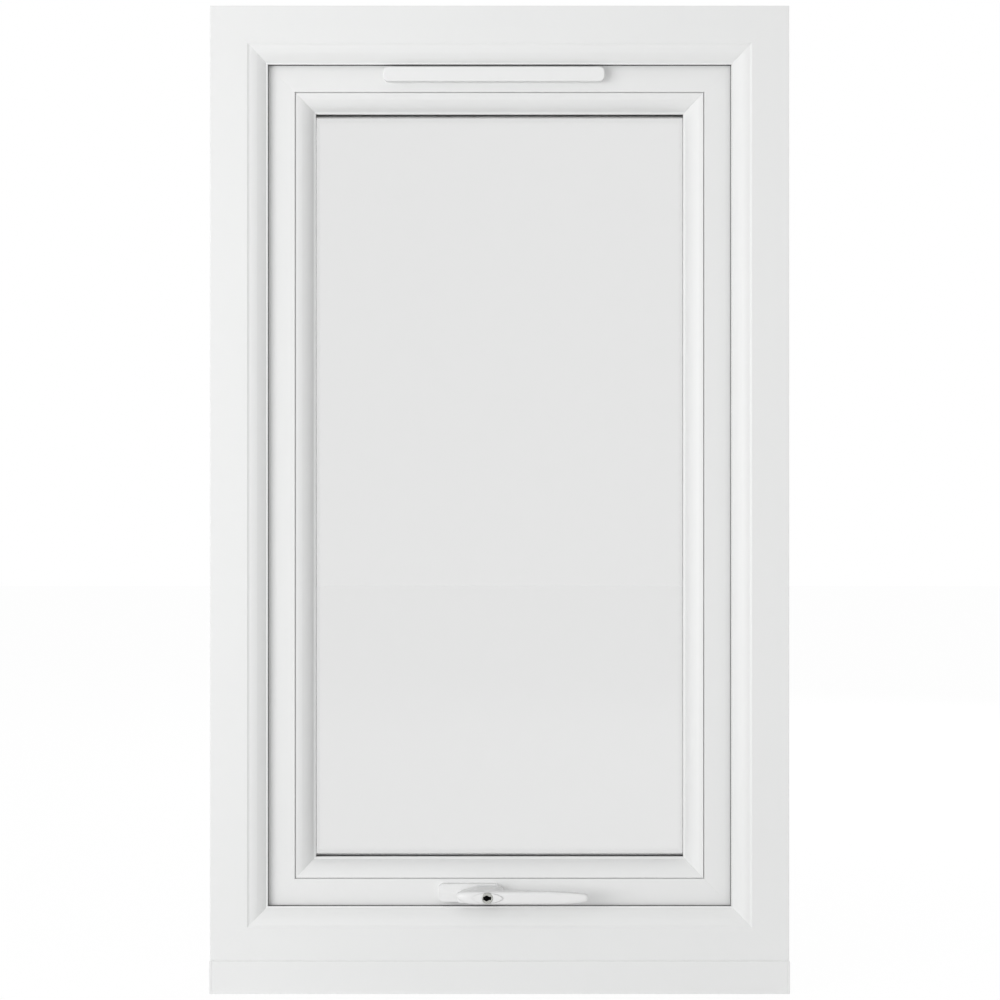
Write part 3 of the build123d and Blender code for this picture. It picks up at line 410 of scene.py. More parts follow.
def outward(points):
    """Unit outward direction at each point of a closed outline."""
    area = sum(a[0] * b[1] - b[0] * a[1] for a, b in zip(points, points[1:] + points[:1]))
    sign = 1 if area > 0 else -1
    result = []
    for i in range(len(points)):
        a, b = points[i - 1], points[(i + 1) % len(points)]
        d = Vector((b[0] - a[0], b[1] - a[1])).normalized()
        result.append((d.y * sign, -d.x * sign))
    return result


def smooth_path(knots, count):
    """Closed Catmull-Rom curve through the knots."""
    points = []
    total = len(knots)
    for i in range(total):
        a, b, c, d = (Vector(knots[(i + k) % total]) for k in (-1, 0, 1, 2))
        for k in range(count):
            t = k / count
            p = 0.5 * (2 * b + (c - a) * t + (2 * a - 5 * b + 4 * c - d) * t * t
                       + (3 * b - a - 3 * c + d) * t ** 3)
            points.append((p.x, p.y))
    return points


def round_over(depth, radius, reach=None):
    """How far an edge of that radius has drawn in at a depth behind the front."""
    if depth >= radius:
        return 0.0
    return (reach or radius) * (1 - math.sqrt(1 - (1 - depth / radius) ** 2))


def corner_point(side, ring, n, y, end):
    """Place of the outline point (n, y) at one mitred end of a side of a ring, in millimetres."""
    half, bottom, top = ring
    if side in ("left", "right"):
        x = half - n if side == "right" else -half + n
        z = bottom + n if end == 0 else top - n
    else:
        x = -half + n if end == 0 else half - n
        z = top - n if side == "head" else bottom + n
    return Vector((x, y, z))


# Meshes
def in_scene(name, data):
    """A new object in the scene."""
    obj = bpy.data.objects.new(name, data)
    bpy.context.scene.collection.objects.link(obj)
    return obj


def mesh_from(name, bm):
    """A new mesh of a bmesh, which it frees."""
    mesh = bpy.data.meshes.new(name)
    bm.to_mesh(mesh)
    bm.free()
    return mesh


def new_object(name, mesh, material):
    mesh.materials.clear()
    mesh.materials.append(finish(material))
    mesh.shade_smooth()
    mesh.set_sharp_from_angle(angle=SMOOTH_ANGLE)
    return in_scene(name, mesh)


def from_bmesh(name, bm, material):
    bmesh.ops.recalc_face_normals(bm, faces=bm.faces)
    return new_object(name, mesh_from(name, bm), material)


def skin(bm, loops, closed=False):
    """Quads between equal loops of points, in millimetres; an open skin has its ends capped."""
    rows = [[bm.verts.new(p * MM) for p in loop] for loop in loops]
    pairs = list(zip(rows, rows[1:])) + ([(rows[-1], rows[0])] if closed else [])
    for first, second in pairs:
        for i in range(len(first)):
            j = (i + 1) % len(first)
            bm.faces.new((first[i], first[j], second[j], second[i]))
    if not closed:
        bm.faces.new(rows[0])
        bm.faces.new(rows[-1])


def skinned(name, loops, material, closed=False):
    bm = bmesh.new()
    skin(bm, loops, closed)
    return from_bmesh(name, bm, material)


def prism(name, points, y0, y1, material):
    """Solid between two depths from an outline in x and z, in millimetres."""
    return skinned(name, [[Vector((x, y, z)) for x, z in points] for y in (y0, y1)], material)


def slab(name, points, depths, material):
    """Solid skinned through copies of an outline: depths are (y, inset) pairs, in millimetres."""
    normals = outward(points)
    return skinned(name, [[Vector((x - nx * inset, y, z - nz * inset))
                           for (x, z), (nx, nz) in zip(points, normals)]
                          for y, inset in depths], material)


def edge_depths(back, front, radius, steps):
    """Depths and insets that round the front edge of a slab."""
    depths = [(back, 0.0)]
    for i in range(steps + 1):
        turn = math.pi / 2 * i / steps
        depths.append((front + radius * (1 - math.sin(turn)), radius * (1 - math.cos(turn))))
    return depths


def add_rod(bm, centre, direction, radius, length):
    """Round bar about a middle, in millimetres."""
    turn = Vector((0, 0, 1)).rotation_difference(Vector(direction)).to_matrix().to_4x4()
    bmesh.ops.create_cone(
        bm, cap_ends=True, segments=ROUND_SEGMENTS, radius1=radius * MM, radius2=radius * MM,
        depth=length * MM, matrix=Matrix.Translation(Vector(centre) * MM) @ turn)


def round_cutter(centre, direction, radius, length):
    """Round bar that a Boolean takes away."""
    bm = bmesh.new()
    add_rod(bm, centre, direction, radius, length)
    return from_bmesh("cutter", bm, "black_rubber")


def box_cutter(low_corner, high_corner):
    """Box between two corners, in millimetres, that a Boolean takes away."""
    bm = bmesh.new()
    bmesh.ops.create_cube(bm, size=1.0)
    a, b = Vector(low_corner), Vector(high_corner)
    for vert in bm.verts:
        vert.co = [((a[i] + b[i]) / 2 + vert.co[i] * (b[i] - a[i])) * MM for i in range(3)]
    return from_bmesh("cutter", bm, "black_rubber")


def grown(node, margin, **sides):
    """Cutter round a node's box, in millimetres; low_x, high_z and so on set one side."""
    a, b = [c - margin for c in low(node)], [c + margin for c in high(node)]
    for key, value in sides.items():
        end, axis = key.split("_")
        (a if end == "low" else b)["xyz".index(axis)] = value
    return box_cutter(a, b)


def bake(obj):
    """Turns a piece with modifiers into a plain mesh."""
    graph = bpy.context.evaluated_depsgraph_get()
    mesh = bpy.data.meshes.new_from_object(obj.evaluated_get(graph), depsgraph=graph)
    obj.modifiers.clear()
    old = obj.data
    obj.data = mesh
    bpy.data.meshes.remove(old)


def cut_holes(obj, cutters):
    """Takes the cutters out of a piece and leaves a plain mesh."""
    for cutter in cutters:
        modifier = obj.modifiers.new("cut", "BOOLEAN")
        modifier.operation, modifier.solver = "DIFFERENCE", "EXACT"
        modifier.object = cutter
    bake(obj)
    for cutter in cutters:
        bpy.data.objects.remove(cutter)


def crease(mesh):
    """Marks the steep edges sharp, and leaves the other edges as they are."""
    bm = bmesh.new()
    bm.from_mesh(mesh)
    for edge in bm.edges:
        if len(edge.link_faces) == 2 and edge.calc_face_angle(0) > CREASE_ANGLE:
            edge.smooth = False
    bm.to_mesh(mesh)
    bm.free()


def weighted(obj):
    """Normals that follow the large flats."""
    modifier = obj.modifiers.new("normals", "WEIGHTED_NORMAL")
    modifier.keep_sharp = True
    modifier.weight = 100


def bevelled(obj, width, segments):
    modifier = obj.modifiers.new("edges", "BEVEL")
    modifier.width, modifier.segments = width, segments
    modifier.limit_method, modifier.angle_limit = "ANGLE", BEVEL_ANGLE
    modifier.use_clamp_overlap = True


def seat(obj, body, slot, *nodes):
    """Says what carries a piece and hides the nodes that it stands for; slot is not used."""
    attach(obj, body)
    if nodes:
        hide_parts(*nodes)


def finish_node(node, material):
    """A finish for a CAD node that is shown as it is."""
    obj = NODES[node]
    obj.data.materials.clear()
    obj.data.materials.append(finish(material))


def dressed(node, name, body, material, slot, edge=0.00025, segments=2):
    """A merged copy of a CAD node with softened edges, in place of the node."""
    bm = bmesh.new()
    bm.from_mesh(NODES[node].data)
    bmesh.ops.remove_doubles(bm, verts=bm.verts, dist=WELD)
    bmesh.ops.dissolve_limit(bm, angle_limit=math.radians(0.5), verts=bm.verts, edges=bm.edges)
    obj = new_object(name, mesh_from(name, bm), material)
    if edge:
        bevelled(obj, edge, segments)
    weighted(obj)
    seat(obj, body, slot, node)


def mitred_bar(name, points, side, ring, cutters=()):
    """One side of a ring of profile, with a fine weld line at both mitres and its holes cut."""
    depth, width = size("seam_depth"), size("seam_width")
    sunk, near = ([], []), ([], [])
    for (n, y), (nn, ny) in zip(points, outward(points)):
        for end in (0, 1):
            full = corner_point(side, ring, n, y, end)
            other = corner_point(side, ring, n, y, 1 - end)
            sunk[end].append(corner_point(side, ring, n - nn * depth, y - ny * depth, end))
            near[end].append(full + (other - full).normalized() * width)
    obj = skinned(name, [sunk[0], near[0], near[1], sunk[1]], "white_profile")
    count = len(points)
    for edge in obj.data.edges:
        rows = [vert // count for vert in edge.vertices]
        if rows in ([1, 1], [2, 2]):
            edge.use_edge_sharp = True
    if cutters:
        cut_holes(obj, cutters)
        crease(obj.data)
    weighted(obj)
    return obj


def mitred_ring(outline, ring, body, ending, nodes, holes=None):
    """Mitred bars in place of the nodes on the left, on the right, above and below."""
    for side, node in zip(("left", "right", "head", "sill"), nodes):
        obj = mitred_bar(node + ending, outline, side, ring, holes(side) if holes else ())
        seat(obj, body, "white_upvc", node)


def whole_ring(name, points, ring, material):
    """One closed ring of profile."""
    obj = skinned(name, [[corner_point(side, ring, n, y, end) for n, y in points]
                         for side, end in (("left", 0), ("left", 1), ("right", 1), ("right", 0))],
                  material, closed=True)
    weighted(obj)
    return obj


# Screws
def screw_tree():
    """Countersunk heads with a cross recess, one on each point, facing one way."""
    tree = bpy.data.node_groups.new("screw_heads", "GeometryNodeTree")
    tree.interface.new_socket("Geometry", in_out="INPUT", socket_type="NodeSocketGeometry")
    for label, kind, value in (
            ("Head Radius", "Float", HEAD_RADIUS), ("Head Height", "Float", HEAD_HEIGHT),
            ("Shank Radius", "Float", SHANK_RADIUS), ("Shank Length", "Float", 0.01),
            ("Facing", "Rotation", (0, 0, 0)), ("Material", "Material", None)):
        socket = tree.interface.new_socket(
            label, in_out="INPUT", socket_type="NodeSocket" + kind)
        socket.default_value = value
    tree.interface.new_socket("Geometry", in_out="OUTPUT", socket_type="NodeSocketGeometry")
    graph = Graph(tree)
    points = graph.node("NodeGroupInput")
    head_radius, head_height, shank_radius, shank_length = (points.beside(label) for label in (
        "Head Radius", "Head Height", "Shank Radius", "Shank Length"))

    def disc(radius):
        return graph.node("GeometryNodeMeshCircle", {"fill_type": "NGON"}, {
            "Vertices": SCREW_SEGMENTS, "Radius": radius})

    def lifted(mesh, height):
        offset = graph.node("ShaderNodeCombineXYZ", {}, {"Z": height})
        return graph.node("GeometryNodeTransform", {}, {"Geometry": mesh, "Translation": offset})

    cone = graph.node("GeometryNodeMeshCone", {"fill_type": "NONE"}, {
        "Vertices": SCREW_SEGMENTS, "Radius Top": shank_radius, "Radius Bottom": head_radius,
        "Depth": head_height})
    tube = graph.node("GeometryNodeMeshCylinder", {"fill_type": "NONE"}, {
        "Vertices": SCREW_SEGMENTS, "Radius": shank_radius, "Depth": shank_length})
    shank = lifted(tube, shank_length * 0.5 + head_height)
    tip = lifted(disc(shank_radius), shank_length + head_height)
    face = graph.node("GeometryNodeFlipFaces", {}, {"Mesh": disc(head_radius)})
    parts = graph.node("GeometryNodeJoinGeometry", {}, {"Geometry": [cone, shank, tip, face]})
    solid = graph.node("GeometryNodeMergeByDistance", {}, {"Geometry": parts, "Distance": 1e-6})
    bars = []
    for long_way, short_way in (("X", "Y"), ("Y", "X")):
        bar_size = graph.node("ShaderNodeCombineXYZ", {}, {
            long_way: head_radius * 1.1, short_way: head_radius * 0.22, "Z": head_height * 1.4})
        bars.append(graph.node("GeometryNodeMeshCube", {}, {"Size": bar_size}))
    screw = graph.node("GeometryNodeMeshBoolean", {"operation": "DIFFERENCE", "solver": "EXACT"}, {
        "Mesh 1": solid, "Mesh 2": bars})
    placed = graph.node("GeometryNodeInstanceOnPoints", {}, {
        "Points": points, "Instance": screw, "Rotation": points.beside("Facing")})
    real = graph.node("GeometryNodeRealizeInstances", {}, {"Geometry": placed})
    painted = graph.node("GeometryNodeSetMaterial", {}, {
        "Geometry": real, "Material": points.beside("Material")})
    graph.node("NodeGroupOutput", {}, {"Geometry": painted})
    return tree


def set_input(modifier, label, value):
    for item in modifier.node_group.interface.items_tree:
        if item.item_type == "SOCKET" and item.in_out == "INPUT" and item.name == label:
            modifier[item.identifier] = value
            return
    raise RuntimeError("no input named " + label)


def on_points(name, points, tree, inputs):
    """A plain mesh of what the tree puts on the points, in metres."""
    mesh = bpy.data.meshes.new(name)
    mesh.from_pydata([tuple(p) for p in points], [], [])
    obj = in_scene(name, mesh)
    modifier = obj.modifiers.new("points", "NODES")
    modifier.node_group = tree
    for label, value in inputs.items():
        set_input(modifier, label, value)
    bake(obj)
    obj.data.shade_smooth()
    obj.data.set_sharp_from_angle(angle=BEVEL_ANGLE)
    return obj


def solid_boxes(node):
    """Lower and upper corners of the separate solids of a node, in metres."""
    bm = bmesh.new()
    bm.from_mesh(NODES[node].data)
    bmesh.ops.remove_doubles(bm, verts=bm.verts, dist=WELD)
    left = set(bm.verts)
    boxes = []
    while left:
        stack, island = [left.pop()], []
        while stack:
            vert = stack.pop()
            island.append(vert.co.copy())
            for edge in vert.link_edges:
                other = edge.other_vert(vert)
                if other in left:
                    left.remove(other)
                    stack.append(other)
        boxes.append(tuple(Vector([pick(c[i] for c in island) for i in range(3)])
                           for pick in (min, max)))
    bm.free()
    return sorted(boxes, key=lambda box: (round(box[0].x, 4), round(box[0].z, 4)))


def screws(name, node, body, direction, side=0):
    """Screw heads in place of a node's screws: all of them, or those with x on one side of 0."""
    axis = max(range(3), key=lambda i: abs(direction[i]))
    points = []
    for box_low, box_high in solid_boxes(node):
        if side and box_low.x * side <= 0:
            continue
        point = (box_low + box_high) / 2
        point[axis] = (box_low if direction[axis] > 0 else box_high)[axis]
        points.append(point)
        length = box_high[axis] - box_low[axis]
    facing = Vector((0, 0, 1)).rotation_difference(Vector(direction)).to_euler()
    tree = bpy.data.node_groups.get("screw_heads") or screw_tree()
    obj = on_points(name, points, tree, {
        "Head Radius": HEAD_RADIUS, "Head Height": HEAD_HEIGHT, "Shank Radius": SHANK_RADIUS,
        "Shank Length": length - HEAD_HEIGHT, "Facing": tuple(facing),
        "Material": finish("brushed_steel")})
    seat(obj, body, "stainless_steel", node)


# Profiles: outlines of (n, y) points, n measured inwards from the ring's edge, in millimetres
def frame_outline():
    """Outer frame: a flat, a small step, the roll moulding, the lip and the sash's rebate."""
    flat_end, step, step_drop, rebate = 39.2, 41.0, 1.2, 41.0
    roll_end, cove_start = (49.6, ROOM + 3.4), (49.9, ROOM + 3.4 + 0.2)
    cove_end, cove_swell, lip = (FRAME_FACE - 1.7, ROOM + 10.0), 0.42, ROOM + 10.0
    points = [(0, ROOM), (flat_end, ROOM, 0.5)]
    points += swell((step, ROOM + step_drop), roll_end, size("frame_roll"), 10)
    points += swell(cove_start, cove_end, cove_swell, 8)
    points += [(FRAME_FACE, lip, 0.35), (FRAME_FACE, SEAL_SEAT, 0.8), (rebate, SEAL_SEAT, 0.4),
               (rebate, OUTSIDE), (0, OUTSIDE)]
    return soften(points, size("edge_radius"))


def sash_outline():
    """Sash: the flange over the frame, the platform for the glass and the outer upstand."""
    flange, platform, upstand = 19.5, BEAD_START - 0.25, BEAD_END - 2.35
    flange_rear = OUTSIDE + 4.5
    points = [
        (flange, SASH_FACE), (platform, SASH_FACE, 0.5), (platform, UPSTAND_IN, 0.3),
        (upstand, UPSTAND_IN), (upstand, SASH_OUT, 2.5), (0, SASH_OUT, 2.0),
        (0, flange_rear), (flange, flange_rear, 0.3),
    ]
    return soften(points, size("edge_radius"))


def bead_outline():
    """Glazing bead: a shadow groove beside the sash, two soft arcs and the nib at the glass."""
    foot, groove = BEAD_START - 0.2, SASH_FACE + 3.2
    start, bend = BEAD_START + 0.2, (BEAD_START + 7.6, SASH_FACE + 2.0)
    slope_start, slope_end = (bend[0] + 0.3, bend[1] + 0.2), (BEAD_END - 1.9, BEAD_REAR - 6.0)
    slope_swell, nib = 1.15, BEAD_REAR - 5.3
    points = [(foot, groove), (start, groove)]
    points += swell((start + 0.7, SASH_FACE), bend, size("bead_roll"), 8)
    points += swell(slope_start, slope_end, slope_swell, 12)
    points += [(BEAD_END, nib, 0.6), (BEAD_END, BEAD_REAR, 0.2), (foot, BEAD_REAR, 0.2)]
    return soften(points, 0.0)


class AddFrame(bpy.types.Operator):
    """The four mitred members of the outer frame"""
    bl_idname = "window.add_frame"
    bl_label = "Outer frame"

    def execute(self, context):
        mitred_ring(frame_outline(), FRAME_RING, "frame", "_profile", (
            "frame_jamb_left", "frame_jamb_right", "frame_head", "frame_bottom_rail"), self.holes)
        return {"FINISHED"}

    @staticmethod
    def holes(side):
        """Screw holes into the wall on the jambs and drain slots on the bottom rail."""
        half, bottom, top = FRAME_RING
        if side in ("left", "right"):
            inset, lower_screw, upper_screw = 20, 230.0, top - 400.0
            x = (half - inset) * (1 if side == "right" else -1)
            return [round_cutter((x, 0, z), (1, 0, 0), radius=4.0, length=60)
                    for z in (lower_screw, upper_screw)]
        if side == "sill":
            reach, outer_places, inner_places = 12.5, (-150, 150), (-105, 105)
            outer = [box_cutter((x - reach, OUTSIDE - 4, bottom + 5),
                                (x + reach, OUTSIDE + 4, bottom + 10)) for x in outer_places]
            inner = [box_cutter((x - reach, 24, bottom + 37),
                                (x + reach, 29, bottom + 45)) for x in inner_places]
            return outer + inner
        return []


class AddSash(bpy.types.Operator):
    """The four mitred members of the sash"""
    bl_idname = "window.add_sash"
    bl_label = "Sash"

    def execute(self, context):
        mitred_ring(sash_outline(), SASH_RING, "sash", "_profile", (
            "sash_stile_left", "sash_stile_right", "sash_top_rail", "sash_bottom_rail"),
            self.holes)
        return {"FINISHED"}

    @staticmethod
    def holes(side):
        """Air slot of the vent in the top rail and the latch's pockets in the bottom rail."""
        if side == "head":
            x, _, z = middle("vent_body")
            end_margin, half_height, overshoot = 19, 3.5, 5
            half = (high("vent_body")[0] - low("vent_body")[0]) / 2 - end_margin
            return [box_cutter((x - half, SASH_FACE - overshoot, z - half_height),
                               (x + half, SASH_OUT + overshoot, z + half_height))]
        if side == "sill":
            overshoot, rail_stop = 1, 15
            under, rail_end = SASH_UNDER - overshoot, high("espag_faceplate")[0] - rail_stop
            x, _, z = middle("handle_spindle")
            return [
                grown("espag_faceplate", margin=0.05, low_z=under),
                grown("drive_rail", margin=0.6, low_z=under, high_x=rail_end),
                grown("espag_gearbox", margin=0.4, low_z=under),
                round_cutter((x, SASH_FACE + 8, z), (0, 1, 0), radius=5.3, length=26),
            ]
        return []


class AddBeads(bpy.types.Operator):
    """Glazing beads with their mitred corners"""
    bl_idname = "window.add_beads"
    bl_label = "Glazing beads"

    def execute(self, context):
        mitred_ring(bead_outline(), SASH_RING, "sash", "_moulding", (
            "bead_left", "bead_right", "bead_top", "bead_bottom"))
        return {"FINISHED"}


class AddGlazing(bpy.types.Operator):
    """Panes, spacer, sealant, packers and the bars inside the chambers"""
    bl_idname = "window.add_glazing"
    bl_label = "Glazing"

    def execute(self, context):
        for node in ("glass_inner", "glass_outer"):
            finish_node(node, "clear_glass")
        self.edge()
        finish_node("glazing_packers", "packer_plastic")
        self.gasket("glazing_gasket_inner", BEAD_REAR, GLASS_IN, set_back=0.8)
        self.gasket("glazing_gasket_outer", GLASS_OUT, UPSTAND_IN, set_back=3.1)
        for node in ("frame_reinforcement", "sash_reinforcement"):
            finish_node(node, "plated_zinc")
        return {"FINISHED"}

    @staticmethod
    def edge():
        """Spacer with its narrower shoulders at both panes, and the sealant round it."""
        front, rear = high("glass_inner")[1], low("glass_outer")[1]
        inner = BEAD_END - size("spacer_set_back")
        outer, shoulder, shoulder_height, face_start = inner - 7, inner - 0.6, 1.2, 2.0
        bar = [(outer, front), (outer, rear), (shoulder, rear),
               (shoulder, rear - shoulder_height, 0.3), (inner, rear - face_start, 0.4),
               (inner, front + face_start, 0.4), (shoulder, front + shoulder_height, 0.3),
               (shoulder, front)]
        obj = whole_ring("spacer", soften(bar, 0.0), SASH_RING, "spacer_black")
        seat(obj, "sash", "black_spacer", "spacer_bar")
        pane_edge, gap = low("glass_inner")[0] + high("sash_stile_right")[0], 0.05
        sealant = [(pane_edge, front), (pane_edge, rear), (outer - gap, rear), (outer - gap, front)]
        obj = whole_ring("sealant", sealant, SASH_RING, "spacer_black")
        seat(obj, "sash", "black_spacer", "edge_sealant")

    @staticmethod
    def gasket(node, y0, y1, set_back):
        """Gasket between two depths; its lip lies behind the bead's glass edge by set_back."""
        lip = BEAD_END - set_back
        back, corner = lip - 8, lip - 0.6
        section = [(back, y0), (corner, y0, 0.3), (lip, (y0 + y1) / 2, 0.4), (corner, y1, 0.3),
                   (back, y1)]
        obj = whole_ring(node + "_ring", soften(section, 0.0), SASH_RING, "black_rubber")
        seat(obj, "sash", "black_gasket", node)


class AddSeals(bpy.types.Operator):
    """Weather seals on the frame's lip and on the sash's flange"""
    bl_idname = "window.add_seals"
    bl_label = "Weather seals"

    def execute(self, context):
        lip, edge, gap = SEAL_SEAT, FRAME_FACE, 0.35
        root, face = edge - 8, SASH_FACE - gap
        bulb = [(root, lip + 0.02), (edge - 1.2, lip + 0.02, 0.4), (edge + 0.25, lip + 0.9, 0.5),
                (edge + 0.35, SASH_FACE - 0.9, 0.5), (edge - 1.5, face, 0.5),
                (edge - 6.5, face, 0.6), (root, lip + 1.5, 0.6)]
        obj = whole_ring("frame_seal", soften(bulb, 0.3), FRAME_RING, "black_rubber")
        seat(obj, "frame", "black_gasket", "frame_weather_seal")
        finish_node("sash_weather_seal", "black_rubber")
        return {"FINISHED"}


class AddCill(bpy.types.Operator):
    """Cill and its two end caps"""
    bl_idname = "window.add_cill"
    bl_label = "Cill"

    def execute(self, context):
        dressed("cill", "cill_profile", "frame", "white_profile", "white_upvc",
                edge=0.0011, segments=4)
        for side in ("left", "right"):
            dressed("cill_end_cap_" + side, "end_cap_" + side, "frame", "white_moulded",
                    "white_upvc", edge=0.0005, segments=3)
        return {"FINISHED"}


class AddStays(bpy.types.Operator):
    """Friction stays on both jambs"""
    bl_idname = "window.add_stays"
    bl_label = "Stays"

    def execute(self, context):
        for side in ("left", "right"):
            for part, body in (("track_", "frame"), ("sash_plate_", "sash"),
                               ("long_arm_", "long_arm_" + side),
                               ("short_arm_", "short_arm_" + side)):
                dressed("stay_" + part + side, part + side, body, "brushed_steel",
                        "stainless_steel")
        return {"FINISHED"}


class AddLatch(bpy.types.Operator):
    """Espagnolette, its roller cams and keeps"""
    bl_idname = "window.add_latch"
    bl_label = "Latch"

    def execute(self, context):
        dressed("espag_faceplate", "faceplate", "sash", "plated_zinc", "stainless_steel")
        dressed("espag_gearbox", "gearbox", "sash", "plated_zinc", "stainless_steel")
        dressed("drive_rail", "rail", "drive", "plated_zinc", "stainless_steel", edge=0)
        dressed("roller_cams", "cams", "drive", "brushed_steel", "stainless_steel")
        for side in ("left", "right"):
            dressed("keep_" + side, "keep_plate_" + side, "frame", "plated_zinc",
                    "stainless_steel")
        return {"FINISHED"}


# Handle: outlines in x and z, in millimetres
def keyway_points(x, z):
    """Outline of the round keyway with its slot."""
    radius, slot, slot_start, slot_end, shift, steps = 2.85, 1.65, -4.5, 3.9, -0.9, 12
    turn = math.asin(slot / radius)
    points = [(x + slot_start, z - slot), (x + slot_start, z + slot)]
    for start, end in ((math.pi - turn, turn), (-turn, turn - math.pi)):
        for i in range(steps + 1):
            angle = start + (end - start) * i / steps
            points.append((x + shift + radius * math.cos(angle), z + radius * math.sin(angle)))
        if start > 0:
            points += [(x + slot_end, z + slot), (x + slot_end, z - slot)]
    return points


def leaf_points(x0, x1, z, half, fullness=0.62, count=24):
    """Leaf shape between two tips; a smaller fullness is rounder."""
    upper = [(x0 + (x1 - x0) * (i / count), z + half * math.sin(math.pi * (i / count)) ** fullness)
             for i in range(count + 1)]
    lower = [(x, 2 * z - v) for x, v in reversed(upper[1:-1])]
    return upper + lower


def lever_outline(left, right, z):
    """Front view of the lever: full heel, straight grip and a round drawn-in tip."""
    below = [(0, 2.4), (1.4, -1.0), (6.5, -4.4), (14, -6.2), (24, -6.6), (60, -6.6), (96, -6.6)]
    tip = [(26, -6.4), (15, -5.7), (6, -4.5), (1.5, -3.0), (0, 0.2), (1.5, 3.2), (6, 4.3),
           (20, 5.6), (36, 6.4)]
    above = [(86, 6.7), (50, 6.8), (20, 6.8), (8, 6.6), (2.2, 5.0)]
    knots = [(left + x, z + rise) for x, rise in below]
    knots += [(right - x, z + rise) for x, rise in tip]
    knots += [(left + x, z + rise) for x, rise in above]
    return smooth_path(knots, 6)


def lever_grip(left, right, front, z):
    """Lever without its neck: the heel draws in towards the front, the tip is thinner."""
    edge, heel_edge, heel_reach, heel_length, back_edge = 3.4, 6.6, 13.0, 30.0, 2.4
    root, thickness, thinning = left + 46, 13.0, 4.0
    outline = lever_outline(left, right, z)
    places = list(zip(outline, outward(outline)))
    loops = []
    for depth in (0.0, 0.12, 0.35, 0.7, 1.2, 1.8, 2.6, 3.6, 5.0, 6.5):
        inset, heel = round_over(depth, edge), round_over(depth, heel_edge, heel_reach)
        loop = []
        for (x, v), (nx, nz) in places:
            near = max(0.0, 1 - (x - left) / heel_length) ** 1.5
            sink = 0.3 * heel * near if nz > 0 else 0.0
            loop.append(Vector((x - nx * inset + heel * near, front + depth,
                                v - nz * inset - sink)))
        loops.append(loop)
    for depth in (2.2, 1.2, 0.5, 0.1, 0.0):
        inset = round_over(depth, back_edge)
        loop = []
        for (x, v), (nx, nz) in places:
            share = max(0.0, min(1.0, (x - root) / (right - root)))
            back = front + thickness - thinning * share
            loop.append(Vector((x - nx * inset, back - depth, v - nz * inset)))
        loops.append(loop)
    return skinned("lever", loops, "white_coating")


def lever_neck(left, front, rear, z):
    """Neck from the base plate to the lever, its upper left corner cut off."""
    loops = []
    for y, x0, x1, z0, z1, corner in (
            (rear, left + 1.6, left + 49.6, z - 8.2, z + 8.4, 6.5),
            (rear - 7, left + 1.4, left + 48.0, z - 7.8, z + 8.1, 6.3),
            (rear - 14, left + 1.2, left + 45.0, z - 7.2, z + 7.8, 6.0),
            (front + 9, left + 1.4, left + 41.0, z - 6.2, z + 6.6, 5.4)):
        section = [(x0, z0), (x1, z0), (x1, z1), (x0 + 20, z1), (x0, z1 - 5.5)]
        loops.append([Vector((x, y, v)) for x, v in soften(section, corner, 8)])
    return skinned("neck", loops, "white_coating")


def blend(body, other):
    """Joins two solids into one with a soft seam."""
    join = body.modifiers.new("join", "BOOLEAN")
    join.operation, join.solver, join.object = "UNION", "EXACT", other
    remesh = body.modifiers.new("blend", "REMESH")
    remesh.mode, remesh.voxel_size = "VOXEL", size("voxel") * MM
    ease = body.modifiers.new("ease", "SMOOTH")
    ease.factor, ease.iterations = 0.5, 8
    bake(body)
    bpy.data.objects.remove(other)


def leaf_ring(x, z, front):
    """Cutter for the fine groove round the lock; its floor follows the lever's rounded edge."""
    left_tip, right_tip, half, groove, above = x - 17.0, x + 16.9, 5.8, 0.8, 1.0
    shallow, deepening, flat_half, edge = 0.25, 1.6, 6.7, 3.4
    leaf = leaf_points(left_tip, right_tip, z, half)
    floor = []
    for px, pz in leaf:
        deep = shallow + deepening * (px - left_tip) / (right_tip - left_tip)
        floor.append(Vector((px, front + deep + round_over(flat_half - abs(pz - z), edge), pz)))
    lens = skinned("lens", [[Vector((px, front - above, pz)) for px, pz in leaf], floor],
                   "white_coating")
    inner = leaf_points(left_tip + 2 * groove, right_tip - 1.3 * groove, z, half - groove)
    core = prism("core", inner, front - 2 * above, front + 6, "white_coating")
    cut_holes(lens, [core])
    return lens


def lever():
    """Lever with its neck, blended as one casting, with the leaf-shaped groove and the bore."""
    x, _, z = middle("lock_cylinder")
    left, front, _ = low("handle_lever")
    right, rear, _ = high("handle_lever")
    body = lever_grip(left, right, front, z)
    blend(body, lever_neck(left, front, rear, z))
    body.data.shade_smooth()
    bore = round_cutter((x, front, z), (0, 1, 0), radius=5.95, length=18)
    cut_holes(body, [leaf_ring(x, z, front), bore])
    finished, sliver = body.data, 4e-6
    bm = bmesh.new()
    bm.from_mesh(finished)
    bmesh.ops.dissolve_degenerate(bm, dist=sliver, edges=bm.edges)
    bmesh.ops.remove_doubles(bm, verts=bm.verts, dist=sliver)
    bm.to_mesh(finished)
    bm.free()
    finished.materials.clear()
    finished.materials.append(finish("white_coating"))
    finished.shade_smooth()
    finished.set_sharp_from_angle(angle=LEVER_ANGLE)
    return body


